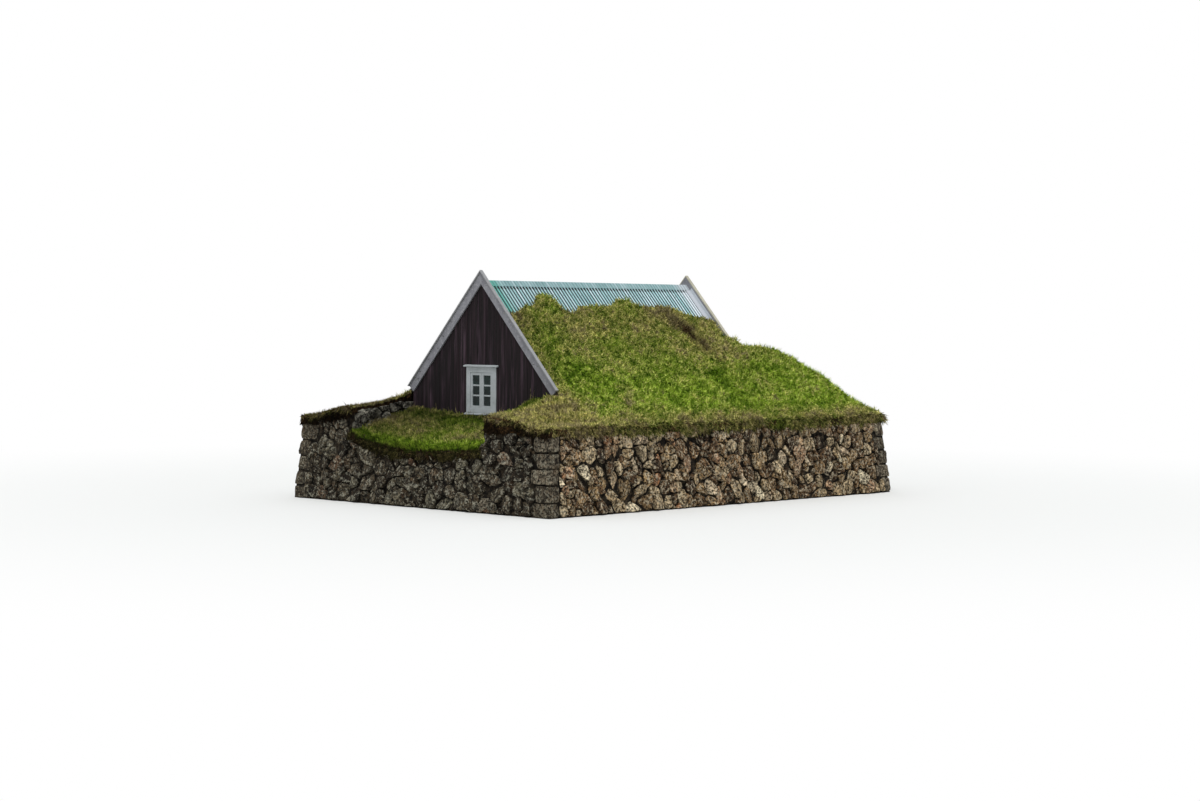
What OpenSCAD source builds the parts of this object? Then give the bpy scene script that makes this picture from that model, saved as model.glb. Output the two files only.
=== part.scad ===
// Turf house: battered rubble walls with turf banked up a steep iron-clad roof
// Z is up, the ridge runs along Y, the window gable faces -Y
// The origin is on the ground at the middle of the plan

/* [Stone walls] */
// Length over the stone walls at their heads
wall_l = 8700; // [8400:50:9400]
// Width over the stone walls at their heads
wall_w = 6100; // [5800:50:6600]
// Height of the outer stone faces
wall_h = 1330; // [1250:10:1400]
// Lean of the stone faces from head to foot
batter = 130; // [60:5:180]
// Thickness of a long wall at its head
wall_t = 1450; // [1300:10:1500]
// Height of the inner wall head that carries a plate
inner_head_h = 1675; // [1620:5:1720]
// Width of the inner wall head
inner_head_w = 350; // [300:10:420]
// Height of the end walls below the gable boards
end_wall_h = 1400; // [1350:10:1480]
// Inner face of the front end wall behind the gable boards
end_wall_back = 140; // [120:5:200]
// Lowest height of the sagging head of the front wall
front_low_h = 840; // [780:10:900]
// Rise of the front wall's head at its left end
front_left_rise = 210; // [120:10:260]
// Rise of the front wall's head at its right end
front_right_rise = 110; // [60:10:160]
// Extra width of the forecourt on the left
forecourt_left = 200; // [100:10:300]
// Height of the left arm's stone edge along the forecourt at the front
kerb_front_h = 1510; // [1460:10:1540]
// Height of the left arm's stone edge along the forecourt at the gable
kerb_gable_h = 1680; // [1640:10:1700]

/* [Entrance] */
// Gap between the rear walls' heads and the rear barge boards
passage_gap = 40; // [30:5:60]
// Width of the doorway
door_w = 800; // [720:10:860]
// Height of the doorway above the floor
door_h = 1720; // [1650:10:1760]
// Width of the casing on each side of the doorway
jamb_w = 150; // [125:5:180]
// Thickness of the door leaf
door_t = 36; // [30:1:45]

/* [Floor] */
// Height of the floor above the lowest ground
floor_h = 200; // [160:5:240]
// Thickness of the floor boards
floor_board_t = 35; // [28:1:40]
// Number of sleepers under the floor
sleepers = 5; // [4:1:7]
// Width of a sleeper
sleeper_w = 120; // [90:5:140]

/* [Roof frame] */
// Distance of the front gable boards from the middle of the plan
gable_front = 2940; // [2900:10:3000]
// Length of the roof between the barge boards
roof_l = 5250; // [5150:25:5300]
// Pitch of the roof
pitch = 47.5; // [46:0.5:49]
// Number of rafter pairs
rafter_pairs = 7; // [6:1:8]
// Thickness of a rafter
rafter_w = 70; // [60:5:80]
// Depth of a rafter
rafter_d = 110; // [90:5:120]
// Width of a wall plate
plate_w = 140; // [120:5:150]
// Height of a wall plate
plate_h = 120; // [100:5:130]
// Thickness of the ridge board
ridge_board_t = 40; // [30:1:50]
// Depth of the ridge board
ridge_board_d = 150; // [140:5:180]
// Height of the collars' undersides
collar_h = 2650; // [2500:10:2750]
// Depth of a collar
collar_d = 100; // [80:5:120]
// Thickness of a collar
collar_t = 50; // [40:5:60]
// Thickness of the roof boards
roof_board_t = 25; // [20:1:30]
// Overhang of the roof boards past the wall plates
eave_over = 74; // [60:2:90]

/* [Corrugated iron] */
// Pitch of the corrugations
wave_pitch = 76.2; // [70:0.1:80]
// Depth of the corrugations from crest to trough
wave_d = 18; // [15:1:20]
// Thickness of the sheets as modelled
sheet_t = 2; // [1.5:0.1:3]
// Points along one corrugation
wave_points = 6; // [6:1:8]
// Width of each wing of the ridge cap
cap_wing = 160; // [140:5:180]
// Radius of the ridge cap's fold
cap_r = 40; // [30:1:50]
// Width of the flashings beside the barge boards
flashing_w = 120; // [90:5:140]
// Height of the flashings' upstands
flashing_up = 60; // [40:5:70]

/* [Gables] */
// Thickness of the gable boards
gable_t = 28; // [24:1:35]
// Thickness of a barge board
barge_t = 40; // [30:1:50]
// Width of a barge board without its cap strip
barge_w = 145; // [130:1:160]
// Height of the barge board's top edge above the sheets
barge_up = 88; // [80:1:100]
// How far the barge boards stop short of the sheets' lower ends
barge_stop = 80; // [60:5:100]
// Thickness of the cap strips on the barge boards
strip_t = 20; // [15:1:25]
// Width of the cap strips on the barge boards
strip_w = 66; // [56:1:76]
// Section of the gable posts and beams
post_w = 100; // [80:5:110]

/* [Window] */
// Width over the window casing
window_w = 740; // [700:10:820]
// Height over the window casing
window_h = 790; // [730:10:830]
// Gap between the window sill and the grass
sill_gap = 5; // [3:1:15]
// Width of the casing boards
casing_w = 95; // [80:5:110]
// Height of the lower casing board, which stands in the grass
casing_foot = 70; // [60:5:90]
// Thickness of the casing boards
casing_t = 25; // [20:1:30]
// Width of the casement stiles and rails
stile_w = 50; // [45:1:60]
// Thickness of the casements
casement_t = 38; // [32:1:44]
// Thickness of the glass
glass_t = 4; // [3:0.5:6]
// Overhang of the drip board past the casing at each end
drip_over = 49; // [30:1:60]
// Height of the drip board and of the sill
drip_h = 38; // [30:1:45]
// Projection of the drip board and of the sill
drip_out = 56; // [45:1:70]

/* [Turf] */
// Height of the turf's lip above the stone walls
lip_h = 125; // [100:5:150]
// Overhang of the turf's lip past the stone faces
lip_over = 60; // [40:5:80]
// How far the lip hangs down the stone faces
lip_drop = 50; // [30:5:70]
// Thickness of the turf at its upper edge
turf_t = 60; // [50:5:90]
// Usual distance of the turf's upper edge from the ridge
edge_s = 700; // [640:10:760]
// Sag of the bank between its upper edge and its lip
bank_sag = 150; // [80:10:200]
// Height of the hummocks in the turf
hummock = 46; // [20:2:60]
// Height of the tussocks that stand on the long banks
tussock = 44; // [36:2:52]
// Distance between tussocks
tussock_run = 490; // [450:10:560]
// Swell of the bank at its rear end
rear_swell = 60; // [30:5:90]
// Height of the turf's crown behind the rear gable
rear_crown_h = 2690; // [2600:10:2750]
// Depth of the grass on the front end wall
grass_cover = 110; // [90:5:130]
// Gap between the turf and the feet of the front barge boards
foot_gap = 5; // [3:1:15]
// Rise of the turf along the inner edge of the left arm
left_crown = 190; // [160:5:210]
// Rise of the turf along the inner edge of the right arm
right_crown = 130; // [100:5:160]
// Dip in the turf's front edge on the right arm
right_dip = 55; // [30:5:70]

/* [Hidden] */
// Slit left between pieces that only lie against each other
fit = 0.5;
half_l = wall_l / 2;
half_w = wall_w / 2;
inner_x = half_w - wall_t;
inner_head_x = inner_x + inner_head_w;
court_left_x = inner_x + forecourt_left;
door_x = door_w / 2;
passage_x = door_x + jamb_w;
// The roof's two ends are the outer faces of the gable boards
roof_y0 = -gable_front;
roof_y1 = roof_y0 + roof_l;
room_y0 = roof_y0 + end_wall_back;
room_y1 = roof_y1 - end_wall_back;
// Wall face left clear in front of a plate
plate_set = 10;
plate_x = inner_x + plate_set;
plate_out_x = plate_x + plate_w;
plate_top = inner_head_h + plate_h;
// Inner end of the level seat that each rafter has on its plate
seat_x = plate_x + plate_w * 0.45;
eave_x = plate_out_x + eave_over;
// Depths of the roof's layers below the crests of the sheets
sheet_depth = wave_d + sheet_t;
boards_depth = sheet_depth + roof_board_t;
rafter_depth = boards_depth + rafter_d;
// Height at which the crests of the two slopes would meet
ridge_z = plate_top + seat_x * tan(pitch) + rafter_depth / cos(pitch);
sheet_l = eave_x / cos(pitch);
barge_l = sheet_l - barge_stop;
barge_down = barge_w - barge_up;
// How far the cap strips pass the feet of the barge boards
strip_over = 10;
// Gap between the ridge cap's wings and the heads of the flashings
wing_gap = 5;
// Outer top corner and inner bottom corner of a barge board's foot
foot_top = slope(barge_l, barge_up);
foot_low = slope(barge_l, -barge_down);
// Height of the rear walls where they meet the gable
passage_h = plane_z(inner_x, -barge_down) - passage_gap;
// Heights of the turf in front of the gable, below the window and below the barge boards' feet
grass_h = end_wall_h + grass_cover;
turf_foot_h = foot_low[1] - foot_gap;
window_z = grass_h + sill_gap + drip_h;
window_x = window_w / 2;
sill_x = window_x + drip_over / 2;
opening_x = window_x - casing_w;
opening_z0 = window_z + casing_foot;
opening_z1 = window_z + window_h - casing_w;
casement_w = opening_x;
door_top = floor_h + door_h;
// Faces of the casements lie just behind the face of the casing
casement_set = 10;
casement_y = roof_y0 - casing_t + casement_set;
// Margin of the gable posts and heads round an opening
frame_gap = 20;
door_gap = 5;
ledge_h = 110;
ledge_t = 28;
ledge_in = 60;
// Heights of the two ledges across the door's inner face, above its foot and below its head
ledge_low = 220;
ledge_high = 320;
ledge_zs = [floor_h + ledge_low, door_top - ledge_high];
strap_t = 6;
strap_l = 490;
strap_root = 40;
strap_tip = 18;
pin_d = 16;
pin_l = 56;
// Height of the latch above the floor and distance from the doorway's edge
latch_h = 950;
latch_in = 90;
latch_plate = [50, 150];
spindle_d = 18;
spindle_l = 30;
lever_l = 60;
turf_seat = sheet_t + 1;
lip_x = half_w + lip_over;
lip_z = wall_h + lip_h;
step_run = 40;
// Drop from the barge board's top edge to the turf behind it
hug_drop = 55;
// Rise of the grass at the left end of the gable
left_bank_h = 90;
// Distances over which the bank leaves the front gable, gains its swell and thins at the rear gable
hug_run = 1100;
swell_run = 2200;
thin_run = 900;
// Where the thinned turf leaves the roof at the rear gable, and how fast
shelf_x = 950;
shelf_rise = 0.75;
// Level stretch of the turf behind the rear gable, and the drop of its crown at the passage
rear_run = 350;
crown_in = 140;
crown_drop = 350;
rear_round = 0.36;
// Reach of an arm's crown and place and spread of its dip, as shares of its width
crown_share = 0.85;
dip_share = 0.78;
dip_spread = 0.22;
// How late an arm's turf starts to rise to the gable
arm_pull = 2.2;
// How much the front lip of the forecourt rounds over
lip_round = 30;
// Shares of the hummocks' height on the lips, the forecourt, the arms and the rear
rough_lip = 0.5;
rough_court = 0.6;
rough_arm = 0.4;
rough_rear = 0.6;

function lerp(a, b, t) = a + (b - a) * t;
function ease(t) = let (c = min(1, max(0, t))) c * c * (3 - 2 * c);
// A hump with a flat top
function bell(v, mid, spread) = exp(-pow((v - mid) / spread, 4));
// A point of the right slope: s down it from the ridge, d above its crests
function slope(s, d) = [
    s * cos(pitch) + d * sin(pitch),
    ridge_z - s * sin(pitch) + d * cos(pitch)
];
// Height over x of the plane that lies d above the crests
function plane_z(x, d) = ridge_z + d / cos(pitch) - x * tan(pitch);
// Lean of a stone face at a height
function lean(z) = batter * (1 - z / wall_h);

module along_y(y0, y1) {
    translate([0, y1, 0]) rotate([90, 0, 0]) linear_extrude(y1 - y0) children();
}

module along_x(x0, x1) {
    translate([x0, 0, 0]) rotate([90, 0, 90]) linear_extrude(x1 - x0) children();
}

module span(x0, x1, y0, y1, z0, z1) {
    translate([x0, y0, z0]) cube([x1 - x0, y1 - y0, z1 - z0]);
}

// A layer of the right slope between two depths, ended square at s1
module slope_layer(d0, d1, s1, y0, y1) {
    along_y(y0, y1) polygon([
        [0, plane_z(0, d1)], slope(s1, d1), slope(s1, d0), [0, plane_z(0, d0)]
    ]);
}

// A closed solid between two grids of points, x rising along each row and y from row to row
module mound(top, under) {
    rows = len(top);
    cols = len(top[0]);
    count = rows * cols;
    function at(i, j, k) = k * count + i * cols + j;
    top_faces = [for (i = [0:rows - 2], j = [0:cols - 2])
        [at(i, j, 0), at(i + 1, j, 0), at(i + 1, j + 1, 0), at(i, j + 1, 0)]];
    under_faces = [for (i = [0:rows - 2], j = [0:cols - 2])
        [at(i, j, 1), at(i, j + 1, 1), at(i + 1, j + 1, 1), at(i + 1, j, 1)]];
    near_faces = [for (j = [0:cols - 2])
        [at(0, j, 0), at(0, j + 1, 0), at(0, j + 1, 1), at(0, j, 1)]];
    far_faces = [for (j = [0:cols - 2])
        [at(rows - 1, j + 1, 0), at(rows - 1, j, 0), at(rows - 1, j, 1), at(rows - 1, j + 1, 1)]];
    low_faces = [for (i = [0:rows - 2])
        [at(i + 1, 0, 0), at(i, 0, 0), at(i, 0, 1), at(i + 1, 0, 1)]];
    high_faces = [for (i = [0:rows - 2])
        [at(i, cols - 1, 0), at(i + 1, cols - 1, 0), at(i + 1, cols - 1, 1), at(i, cols - 1, 1)]];
    quads = concat(top_faces, under_faces, near_faces, far_faces, low_faces, high_faces);
    triangles = [for (q = quads) each [[q[0], q[1], q[2]], [q[0], q[2], q[3]]]];
    points = concat([for (row = top) each row], [for (row = under) each row]);
    polyhedron(points, triangles);
}

// The block that all four stone faces bound
module battered_block() {
    intersection() {
        along_y(-half_l - batter, half_l + batter) polygon([
            [-half_w - batter, 0], [half_w + batter, 0], [half_w, wall_h], [-half_w, wall_h]
        ]);
        along_x(-half_w - batter, half_w + batter) polygon([
            [-half_l - batter, 0], [half_l + batter, 0], [half_l, wall_h], [-half_l, wall_h]
        ]);
    }
}

module side_wall(court) {
    difference() {
        intersection() {
            battered_block();
            span(inner_x, half_w + batter, -half_l - batter, half_l + batter, 0, wall_h);
        }
        if (court > 0) {
            span(inner_x - 1, inner_x + court, -half_l - batter - 1, roof_y0, -1, wall_h + 1);
        }
    }
    span(inner_x, inner_head_x, roof_y0, roof_y1, wall_h, inner_head_h);
}

// Places across and along an arm, from its inner edge and its front
arm_steps = 8;
function arm_xs(x0) = [for (j = [0:arm_steps]) lerp(x0, half_w, j / arm_steps)];
arm_ys = [for (i = [0:arm_steps]) lerp(-half_l, roof_y0 - fit, i / arm_steps)];
// Share of the way along an arm, from its front to the gable
function arm_t(y) = (y + half_l) / (roof_y0 + half_l);
// Height of an arm's stone head, which slopes up to an inner edge where that is raised
function arm_head(x, y, x0, kerb) = kerb
    ? lerp(lerp(kerb_front_h, kerb_gable_h, arm_t(y)), wall_h, (x - x0) / (half_w - x0))
    : wall_h;

module left_wall() {
    bite = 1;
    color("dimgray") mirror([1, 0, 0]) union() {
        side_wall(forecourt_left);
        mound([for (y = arm_ys) [for (x = arm_xs(court_left_x)) [x, y, arm_head(x, y, court_left_x, true)]]],
            [for (y = arm_ys) [for (x = arm_xs(court_left_x)) [x, y, wall_h - bite]]]);
    }
}

module right_wall() {
    color("dimgray") union() side_wall(0);
}

// Height of the front wall's sagging head
function court_lip_z(x) = let (u = x / inner_x)
    front_low_h + (u < 0 ? front_left_rise : front_right_rise) * u * u;
// How soon the stonework of the forecourt rises behind its front face
court_rise = 0.85;
// Height of the stonework across the forecourt, from the front face to the gable
function court_stone_z(x, t) = lerp(court_lip_z(x), end_wall_h, pow(t, court_rise));
function court_front_y(z) = -half_l - lean(z);
court_cols = 14;
court_rows = 8;
function court_x(j, inset) = lerp(-court_left_x + inset, inner_x - inset, j / court_cols);
function court_y(x, t) = lerp(court_front_y(court_lip_z(x)), roof_y0, t);

module front_wall() {
    head = [for (i = [0:court_rows]) [for (j = [0:court_cols])
        let (x = court_x(j, 0), t = i / court_rows)
        [x, court_y(x, t), court_stone_z(x, t)]]];
    foot = [for (i = [0:court_rows]) [for (j = [0:court_cols])
        [court_x(j, 0), lerp(court_front_y(0), roof_y0, i / court_rows), 0]]];
    color("dimgray") union() {
        mound(head, foot);
        span(-inner_x, inner_x, roof_y0, room_y0, 0, end_wall_h);
    }
}

// Height of the stonework beside the passage
function passage_z(y) = lerp(passage_h, wall_h, (y - roof_y1) / (half_l - roof_y1));

module rear_right_wall() {
    color("dimgray") along_x(passage_x, inner_x) polygon([
        [room_y1, 0], [half_l + batter, 0], [half_l, wall_h], [roof_y1, passage_h],
        [roof_y1, end_wall_h], [room_y1, end_wall_h]
    ]);
}

module rear_left_wall() {
    mirror([1, 0, 0]) rear_right_wall();
}

module floor_sleepers() {
    color("saddlebrown") for (i = [0:sleepers - 1]) {
        y = lerp(room_y0, room_y1 - sleeper_w, i / (sleepers - 1));
        span(-inner_x, inner_x, y, y + sleeper_w, 0, floor_h - floor_board_t);
    }
}

module floor_boards() {
    color("peru") span(-inner_x, inner_x, room_y0, room_y1, floor_h - floor_board_t, floor_h);
}

module wall_plates() {
    color("saddlebrown") for (m = [0, 1]) mirror([m, 0, 0])
        span(plate_x, plate_out_x, roof_y0 + gable_t, roof_y1 - gable_t, inner_head_h, plate_top);
}

function rafter_y(i) = lerp(roof_y0 + gable_t, roof_y1 - gable_t - rafter_w, i / (rafter_pairs - 1));

module rafters() {
    half_board = ridge_board_t / 2;
    color("saddlebrown") for (i = [0:rafter_pairs - 1], m = [0, 1]) mirror([m, 0, 0]) {
        along_y(rafter_y(i), rafter_y(i) + rafter_w) polygon([
            [half_board, plane_z(half_board, -boards_depth)],
            [plate_out_x, plane_z(plate_out_x, -boards_depth)],
            [plate_out_x, plate_top],
            [seat_x, plate_top],
            [half_board, plane_z(half_board, -rafter_depth)]
        ]);
    }
}

module ridge_board() {
    half_board = ridge_board_t / 2;
    top = plane_z(half_board, -boards_depth);
    color("saddlebrown") span(-half_board, half_board, roof_y0 + gable_t, roof_y1 - gable_t,
        top - ridge_board_d, top);
}

module collars() {
    // Distance from the middle at which a height meets the roof boards
    function reach(z) = (plane_z(0, -boards_depth) - z) / tan(pitch) - 2;
    low = reach(collar_h);
    high = reach(collar_h + collar_d);
    color("saddlebrown") for (i = [1:rafter_pairs - 2]) {
        y = rafter_y(i) + rafter_w;
        along_y(y, y + collar_t) polygon([
            [-low, collar_h], [low, collar_h], [high, collar_h + collar_d], [-high, collar_h + collar_d]
        ]);
    }
}

module right_roof_boards() {
    color("peru") slope_layer(-boards_depth, -sheet_depth, sheet_l, roof_y0 + gable_t, roof_y1 - gable_t);
}

module left_roof_boards() {
    mirror([1, 0, 0]) right_roof_boards();
}

// Depth below the crests of a sheet's face at a place along the ridge
function wave(y) = wave_d / 2 * (cos(360 * (y - roof_y0) / wave_pitch) - 1);

module iron_sheets() {
    steps = round(roof_l / wave_pitch * wave_points);
    ys = [for (i = [0:steps]) lerp(roof_y0, roof_y1, i / steps)];
    upper = [for (y = ys) [y, wave(y)]];
    lower = [for (i = [steps:-1:0]) [ys[i], wave(ys[i]) - sheet_t]];
    start = max(cap_r, sheet_depth) * tan(pitch) + fit;
    color("mediumaquamarine") translate([0, 0, ridge_z]) rotate([0, pitch, 0])
        along_x(start, sheet_l) polygon(concat(upper, lower));
}

module right_iron_sheets() {
    iron_sheets();
}

module left_iron_sheets() {
    mirror([1, 0, 0]) iron_sheets();
}

module ridge_cap() {
    // Centre height of a fold of radius r that touches the two wings
    function fold_z(r, d) = plane_z(0, d) - r / cos(pitch);
    module bent(r, d) {
        middle = fold_z(r, d);
        arc = [for (a = [90 - pitch:pitch / 6:90 + pitch])
            [r * cos(a), middle + r * sin(a)]];
        right = slope(cap_wing, d);
        polygon(concat([right], arc, [[-right[0], right[1]], [0, right[1]]]));
    }
    color("mediumaquamarine") along_y(roof_y0 + fit, roof_y1 - fit) difference() {
        bent(cap_r, fit + sheet_t);
        bent(cap_r - sheet_t, fit);
    }
}

module flashing(y0, side) {
    s0 = cap_wing + wing_gap;
    y1 = y0 + side * flashing_w;
    up = y0 + side * sheet_t;
    color("mediumseagreen") for (m = [0, 1]) mirror([m, 0, 0])
        translate([0, 0, ridge_z]) rotate([0, pitch, 0]) along_x(s0, sheet_l)
            polygon([[y0, 0], [y1, 0], [y1, sheet_t], [up, sheet_t], [up, flashing_up], [y0, flashing_up]]);
}

module front_flashings() {
    flashing(roof_y0, 1);
}

module rear_flashings() {
    flashing(roof_y1, -1);
}

// Posts, foot beams and head of a gable frame round an opening
module gable_frame(half_open, foot_z, head_z, beam_in) {
    post_top = plane_z(half_open + post_w, -rafter_depth);
    for (m = [0, 1]) mirror([m, 0, 0]) {
        span(half_open, half_open + post_w, 0, post_w, foot_z, post_top);
        span(beam_in, inner_x, 0, post_w, end_wall_h, end_wall_h + post_w);
    }
    span(-half_open - 1, half_open + 1, 0, post_w, head_z, head_z + post_w);
}

module front_gable_frame() {
    color("saddlebrown") translate([0, roof_y0 + gable_t, 0]) union() {
        gable_frame(opening_x + frame_gap, end_wall_h, opening_z1 + frame_gap, 0);
        span(-opening_x - frame_gap - 1, opening_x + frame_gap + 1, 0, post_w,
            end_wall_h, end_wall_h + post_w);
    }
}

module rear_gable_frame() {
    color("saddlebrown") translate([0, roof_y1 - gable_t - post_w, 0])
        gable_frame(door_x + frame_gap, floor_h, door_top + frame_gap, door_x + frame_gap + 1);
}

module gable_outline() {
    shoulder = plane_z(plate_out_x, -boards_depth);
    polygon([
        [-inner_x, end_wall_h], [inner_x, end_wall_h], [inner_x, inner_head_h],
        [plate_out_x, inner_head_h], [plate_out_x, shoulder], [0, plane_z(0, -boards_depth)],
        [-plate_out_x, shoulder], [-plate_out_x, inner_head_h], [-inner_x, inner_head_h]
    ]);
}

module front_gable_boards() {
    color("#33262b") along_y(roof_y0, roof_y0 + gable_t) difference() {
        gable_outline();
        translate([-opening_x, opening_z0]) square([2 * opening_x, opening_z1 - opening_z0]);
    }
}

module rear_gable_boards() {
    color("#33262b") along_y(roof_y1 - gable_t, roof_y1) difference() {
        gable_outline();
        translate([-door_x, end_wall_h - 1]) square([door_w, door_top - end_wall_h + 1]);
    }
}

module barge_board(y0) {
    color("lightslategray") slope_layer(-barge_down, barge_up, barge_l, y0, y0 + barge_t);
}

module front_right_barge_board() {
    barge_board(roof_y0 - barge_t);
}

module front_left_barge_board() {
    mirror([1, 0, 0]) barge_board(roof_y0 - barge_t);
}

module rear_right_barge_board() {
    barge_board(roof_y1);
}

module rear_left_barge_board() {
    mirror([1, 0, 0]) barge_board(roof_y1);
}

module barge_caps(y0) {
    color("ivory") for (m = [0, 1]) mirror([m, 0, 0])
        slope_layer(barge_up, barge_up + strip_t, barge_l + strip_over, y0, y0 + strip_w);
}

module front_barge_caps() {
    barge_caps(roof_y0 - strip_w);
}

module rear_barge_caps() {
    barge_caps(roof_y1);
}

module window_casing() {
    color("white") along_y(roof_y0 - casing_t, roof_y0) difference() {
        translate([-window_x, window_z]) square([window_w, window_h]);
        translate([-opening_x, opening_z0]) square([2 * opening_x, opening_z1 - opening_z0]);
    }
}

module window_drip_board() {
    top = window_z + window_h;
    color("white") along_x(-window_x - drip_over, window_x + drip_over) polygon([
        [roof_y0, top], [roof_y0 - drip_out, top], [roof_y0 - drip_out, top + drip_h * 0.55],
        [roof_y0, top + drip_h]
    ]);
}

module window_sill() {
    color("white") along_x(-sill_x, sill_x) polygon([
        [roof_y0, window_z - drip_h], [roof_y0 - drip_out, window_z - drip_h],
        [roof_y0 - drip_out, window_z - drip_h * 0.4], [roof_y0, window_z]
    ]);
}

module casement() {
    h = opening_z1 - opening_z0;
    color("white") along_y(casement_y, casement_y + casement_t) difference() {
        translate([fit, opening_z0 + fit]) square([casement_w - 2 * fit, h - 2 * fit]);
        translate([stile_w, opening_z0 + stile_w]) square([casement_w - 2 * stile_w, h - 2 * stile_w]);
    }
}

module right_casement() {
    casement();
}

module left_casement() {
    mirror([1, 0, 0]) casement();
}

module window_glass() {
    y = casement_y + casement_t / 2;
    color("darkslategray", 0.6) for (m = [0, 1]) mirror([m, 0, 0])
        span(stile_w, casement_w - stile_w, y, y + glass_t, opening_z0 + stile_w, opening_z1 - stile_w);
}

module door_leaf() {
    leaf_y = roof_y1 - door_t;
    color("#3c2f30") union() {
        span(door_gap - door_x, door_x - door_gap, leaf_y, roof_y1, floor_h + fit, door_top - door_gap);
        for (z = ledge_zs)
            span(ledge_in - door_x, door_x - ledge_in, leaf_y - ledge_t, leaf_y, z, z + ledge_h);
    }
}

module door_casing() {
    color("white") along_y(roof_y1, roof_y1 + casing_t) difference() {
        translate([-passage_x, floor_h]) square([2 * passage_x, door_h + casing_w]);
        translate([-door_x, floor_h - 1]) square([door_w, door_h + 1]);
    }
}

module door_threshold() {
    color("gray") span(-passage_x, passage_x, room_y1, roof_y1 + casing_t * 2, 0, floor_h);
}

// Tapered strap with its pin at the hinge side of the door
module strap_hinge() {
    translate([pin_d / 2, 0, 0]) union() {
        along_y(0, strap_t) polygon([
            [0, -strap_root / 2], [strap_l, -strap_tip / 2], [strap_l, strap_tip / 2], [0, strap_root / 2]
        ]);
        translate([0, pin_d / 2, -pin_l / 2]) cylinder(d = pin_d, h = pin_l, $fn = 24);
    }
}

// Plate, spindle and lever of the latch
module latch() {
    union() {
        span(-latch_plate[0] / 2, latch_plate[0] / 2, 0, strap_t, -latch_plate[1] / 2, latch_plate[1] / 2);
        translate([0, strap_t, 0]) rotate([-90, 0, 0]) cylinder(d = spindle_d, h = spindle_l, $fn = 24);
        span(spindle_d / 2 - lever_l, spindle_d / 2, spindle_l - strap_t, spindle_l + strap_t,
            -spindle_d / 2, spindle_d / 2);
    }
}

module door_ironwork() {
    color("black") {
        for (z = ledge_zs) translate([door_gap - door_x, roof_y1, z + ledge_h / 2]) strap_hinge();
        translate([door_x - latch_in, roof_y1, floor_h + latch_h]) latch();
    }
}

// Hollows and humps in the turf's upper edge: place along the ridge, reach down the slope, spread
edge_lobes = [
    [-2950, 180, 450], [-1810, -255, 260], [-1330, 170, 200], [170, -150, 290], [2080, 240, 600],
    [2500, 120, 330]
];
function edge_at(y) = edge_s + sum_lobes(y, 0);
function sum_lobes(y, i) = i == len(edge_lobes) ? 0
    : edge_lobes[i][1] * bell(y, edge_lobes[i][0], edge_lobes[i][2]) + sum_lobes(y, i + 1);

// Wavelengths along x and y and the phases of the three sets of hummocks
function hummocks(x, y) = hummock * (
    0.55 * sin(360 * x / 930 + 40) * sin(360 * y / 1270 + 115)
    + 0.30 * sin(360 * (x + 1.7 * y) / 860 + 10)
    + 0.25 * sin(360 * (2.1 * x - y) / 1010 + 200));

// Tussocks stand in crossing rows that run askew to the walls
function tussocks(x, y) = tussock * (
    0.6 * sin(360 * (x + 0.35 * y) / tussock_run) * sin(360 * (y - 0.3 * x) / (1.2 * tussock_run))
    + 0.4 * sin(360 * (0.8 * x - y) / (1.35 * tussock_run) + 70));

// Height of the lip along the outer edges
function lip_at(y) = lip_z + rough_lip * hummocks(half_w, y);

// Height of a long bank over x, where its upper edge starts at edge_x
function bank_z(x, y, edge_x) = let (
        start = plane_z(edge_x, turf_t),
        u = (x - edge_x) / (lip_x - edge_x),
        // The bank hugs the roof beside the front gable and swells towards the rear
        near = ease(1 - (y - roof_y0) / hug_run),
        far = ease((y - roof_y1 + swell_run) / swell_run),
        full_z = lerp(start, lip_at(y), u) - lerp(bank_sag, -rear_swell, far) * sin(180 * u),
        thin_z = plane_z(x, turf_t) + shelf_rise * max(0, x - shelf_x),
        open_z = lerp(full_z, min(full_z, thin_z), ease((y - roof_y1 + thin_run) / thin_run)),
        hug_z = x < foot_top[0]
            ? plane_z(x, barge_up) - hug_drop
            : lerp(foot_top[1] - hug_drop, lip_at(y), (x - foot_top[0]) / (lip_x - foot_top[0])))
    lerp(open_z, hug_z, near) + (hummocks(x, y) + tussocks(x, y)) * sin(180 * u) * (1 - near);

// Height of what carries the bank over x
function bank_bed(x) = x <= eave_x ? plane_z(x, turf_seat)
    : x <= inner_head_x ? inner_head_h : wall_h;

bank_rows = 50;
roof_cols = 10;
wall_cols = 8;
// Places over the wall where the bed of the bank has its corners
bank_x = [eave_x + step_run, inner_head_x, inner_head_x + step_run];

module turf_bank(turn) {
    y0 = roof_y0 + turf_seat;
    y1 = roof_y1 - turf_seat;
    ys = [for (i = [0:bank_rows]) lerp(y0, y1, i / bank_rows)];
    function edge_x(y) = edge_at(turn ? y0 + y1 - y : y) * cos(pitch);
    function xs(y) = concat(
        [for (j = [0:roof_cols]) lerp(edge_x(y), eave_x, j / roof_cols)],
        bank_x,
        [for (j = [1:wall_cols]) lerp(inner_head_x + step_run, half_w, j / wall_cols)],
        [lip_x]);
    top = [for (y = ys) [for (x = xs(y)) [x, y, bank_z(x, y, edge_x(y))]]];
    under = [for (y = ys) [for (x = xs(y))
        [x, y, x > half_w ? wall_h - lip_drop : bank_bed(x)]]];
    color("olivedrab") mound(top, under);
}

module right_turf_bank() {
    turf_bank(false);
}

module left_turf_bank() {
    mirror([1, 0, 0]) turf_bank(true);
}

// Height of the grass over the forecourt, t from the front face to the gable
function court_grass_z(x, t) = let (
        right_rise = (turf_foot_h - foot_gap - grass_h) * ease((x - sill_x) / (inner_x - sill_x)),
        left_rise = left_bank_h * ease((-x - sill_x) / (inner_x - sill_x)),
        cover = lerp(lip_h, grass_cover + right_rise + left_rise, ease(t)))
    court_stone_z(x, t) + cover + rough_court * hummocks(x, court_y(x, t)) * sin(180 * t);

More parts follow.
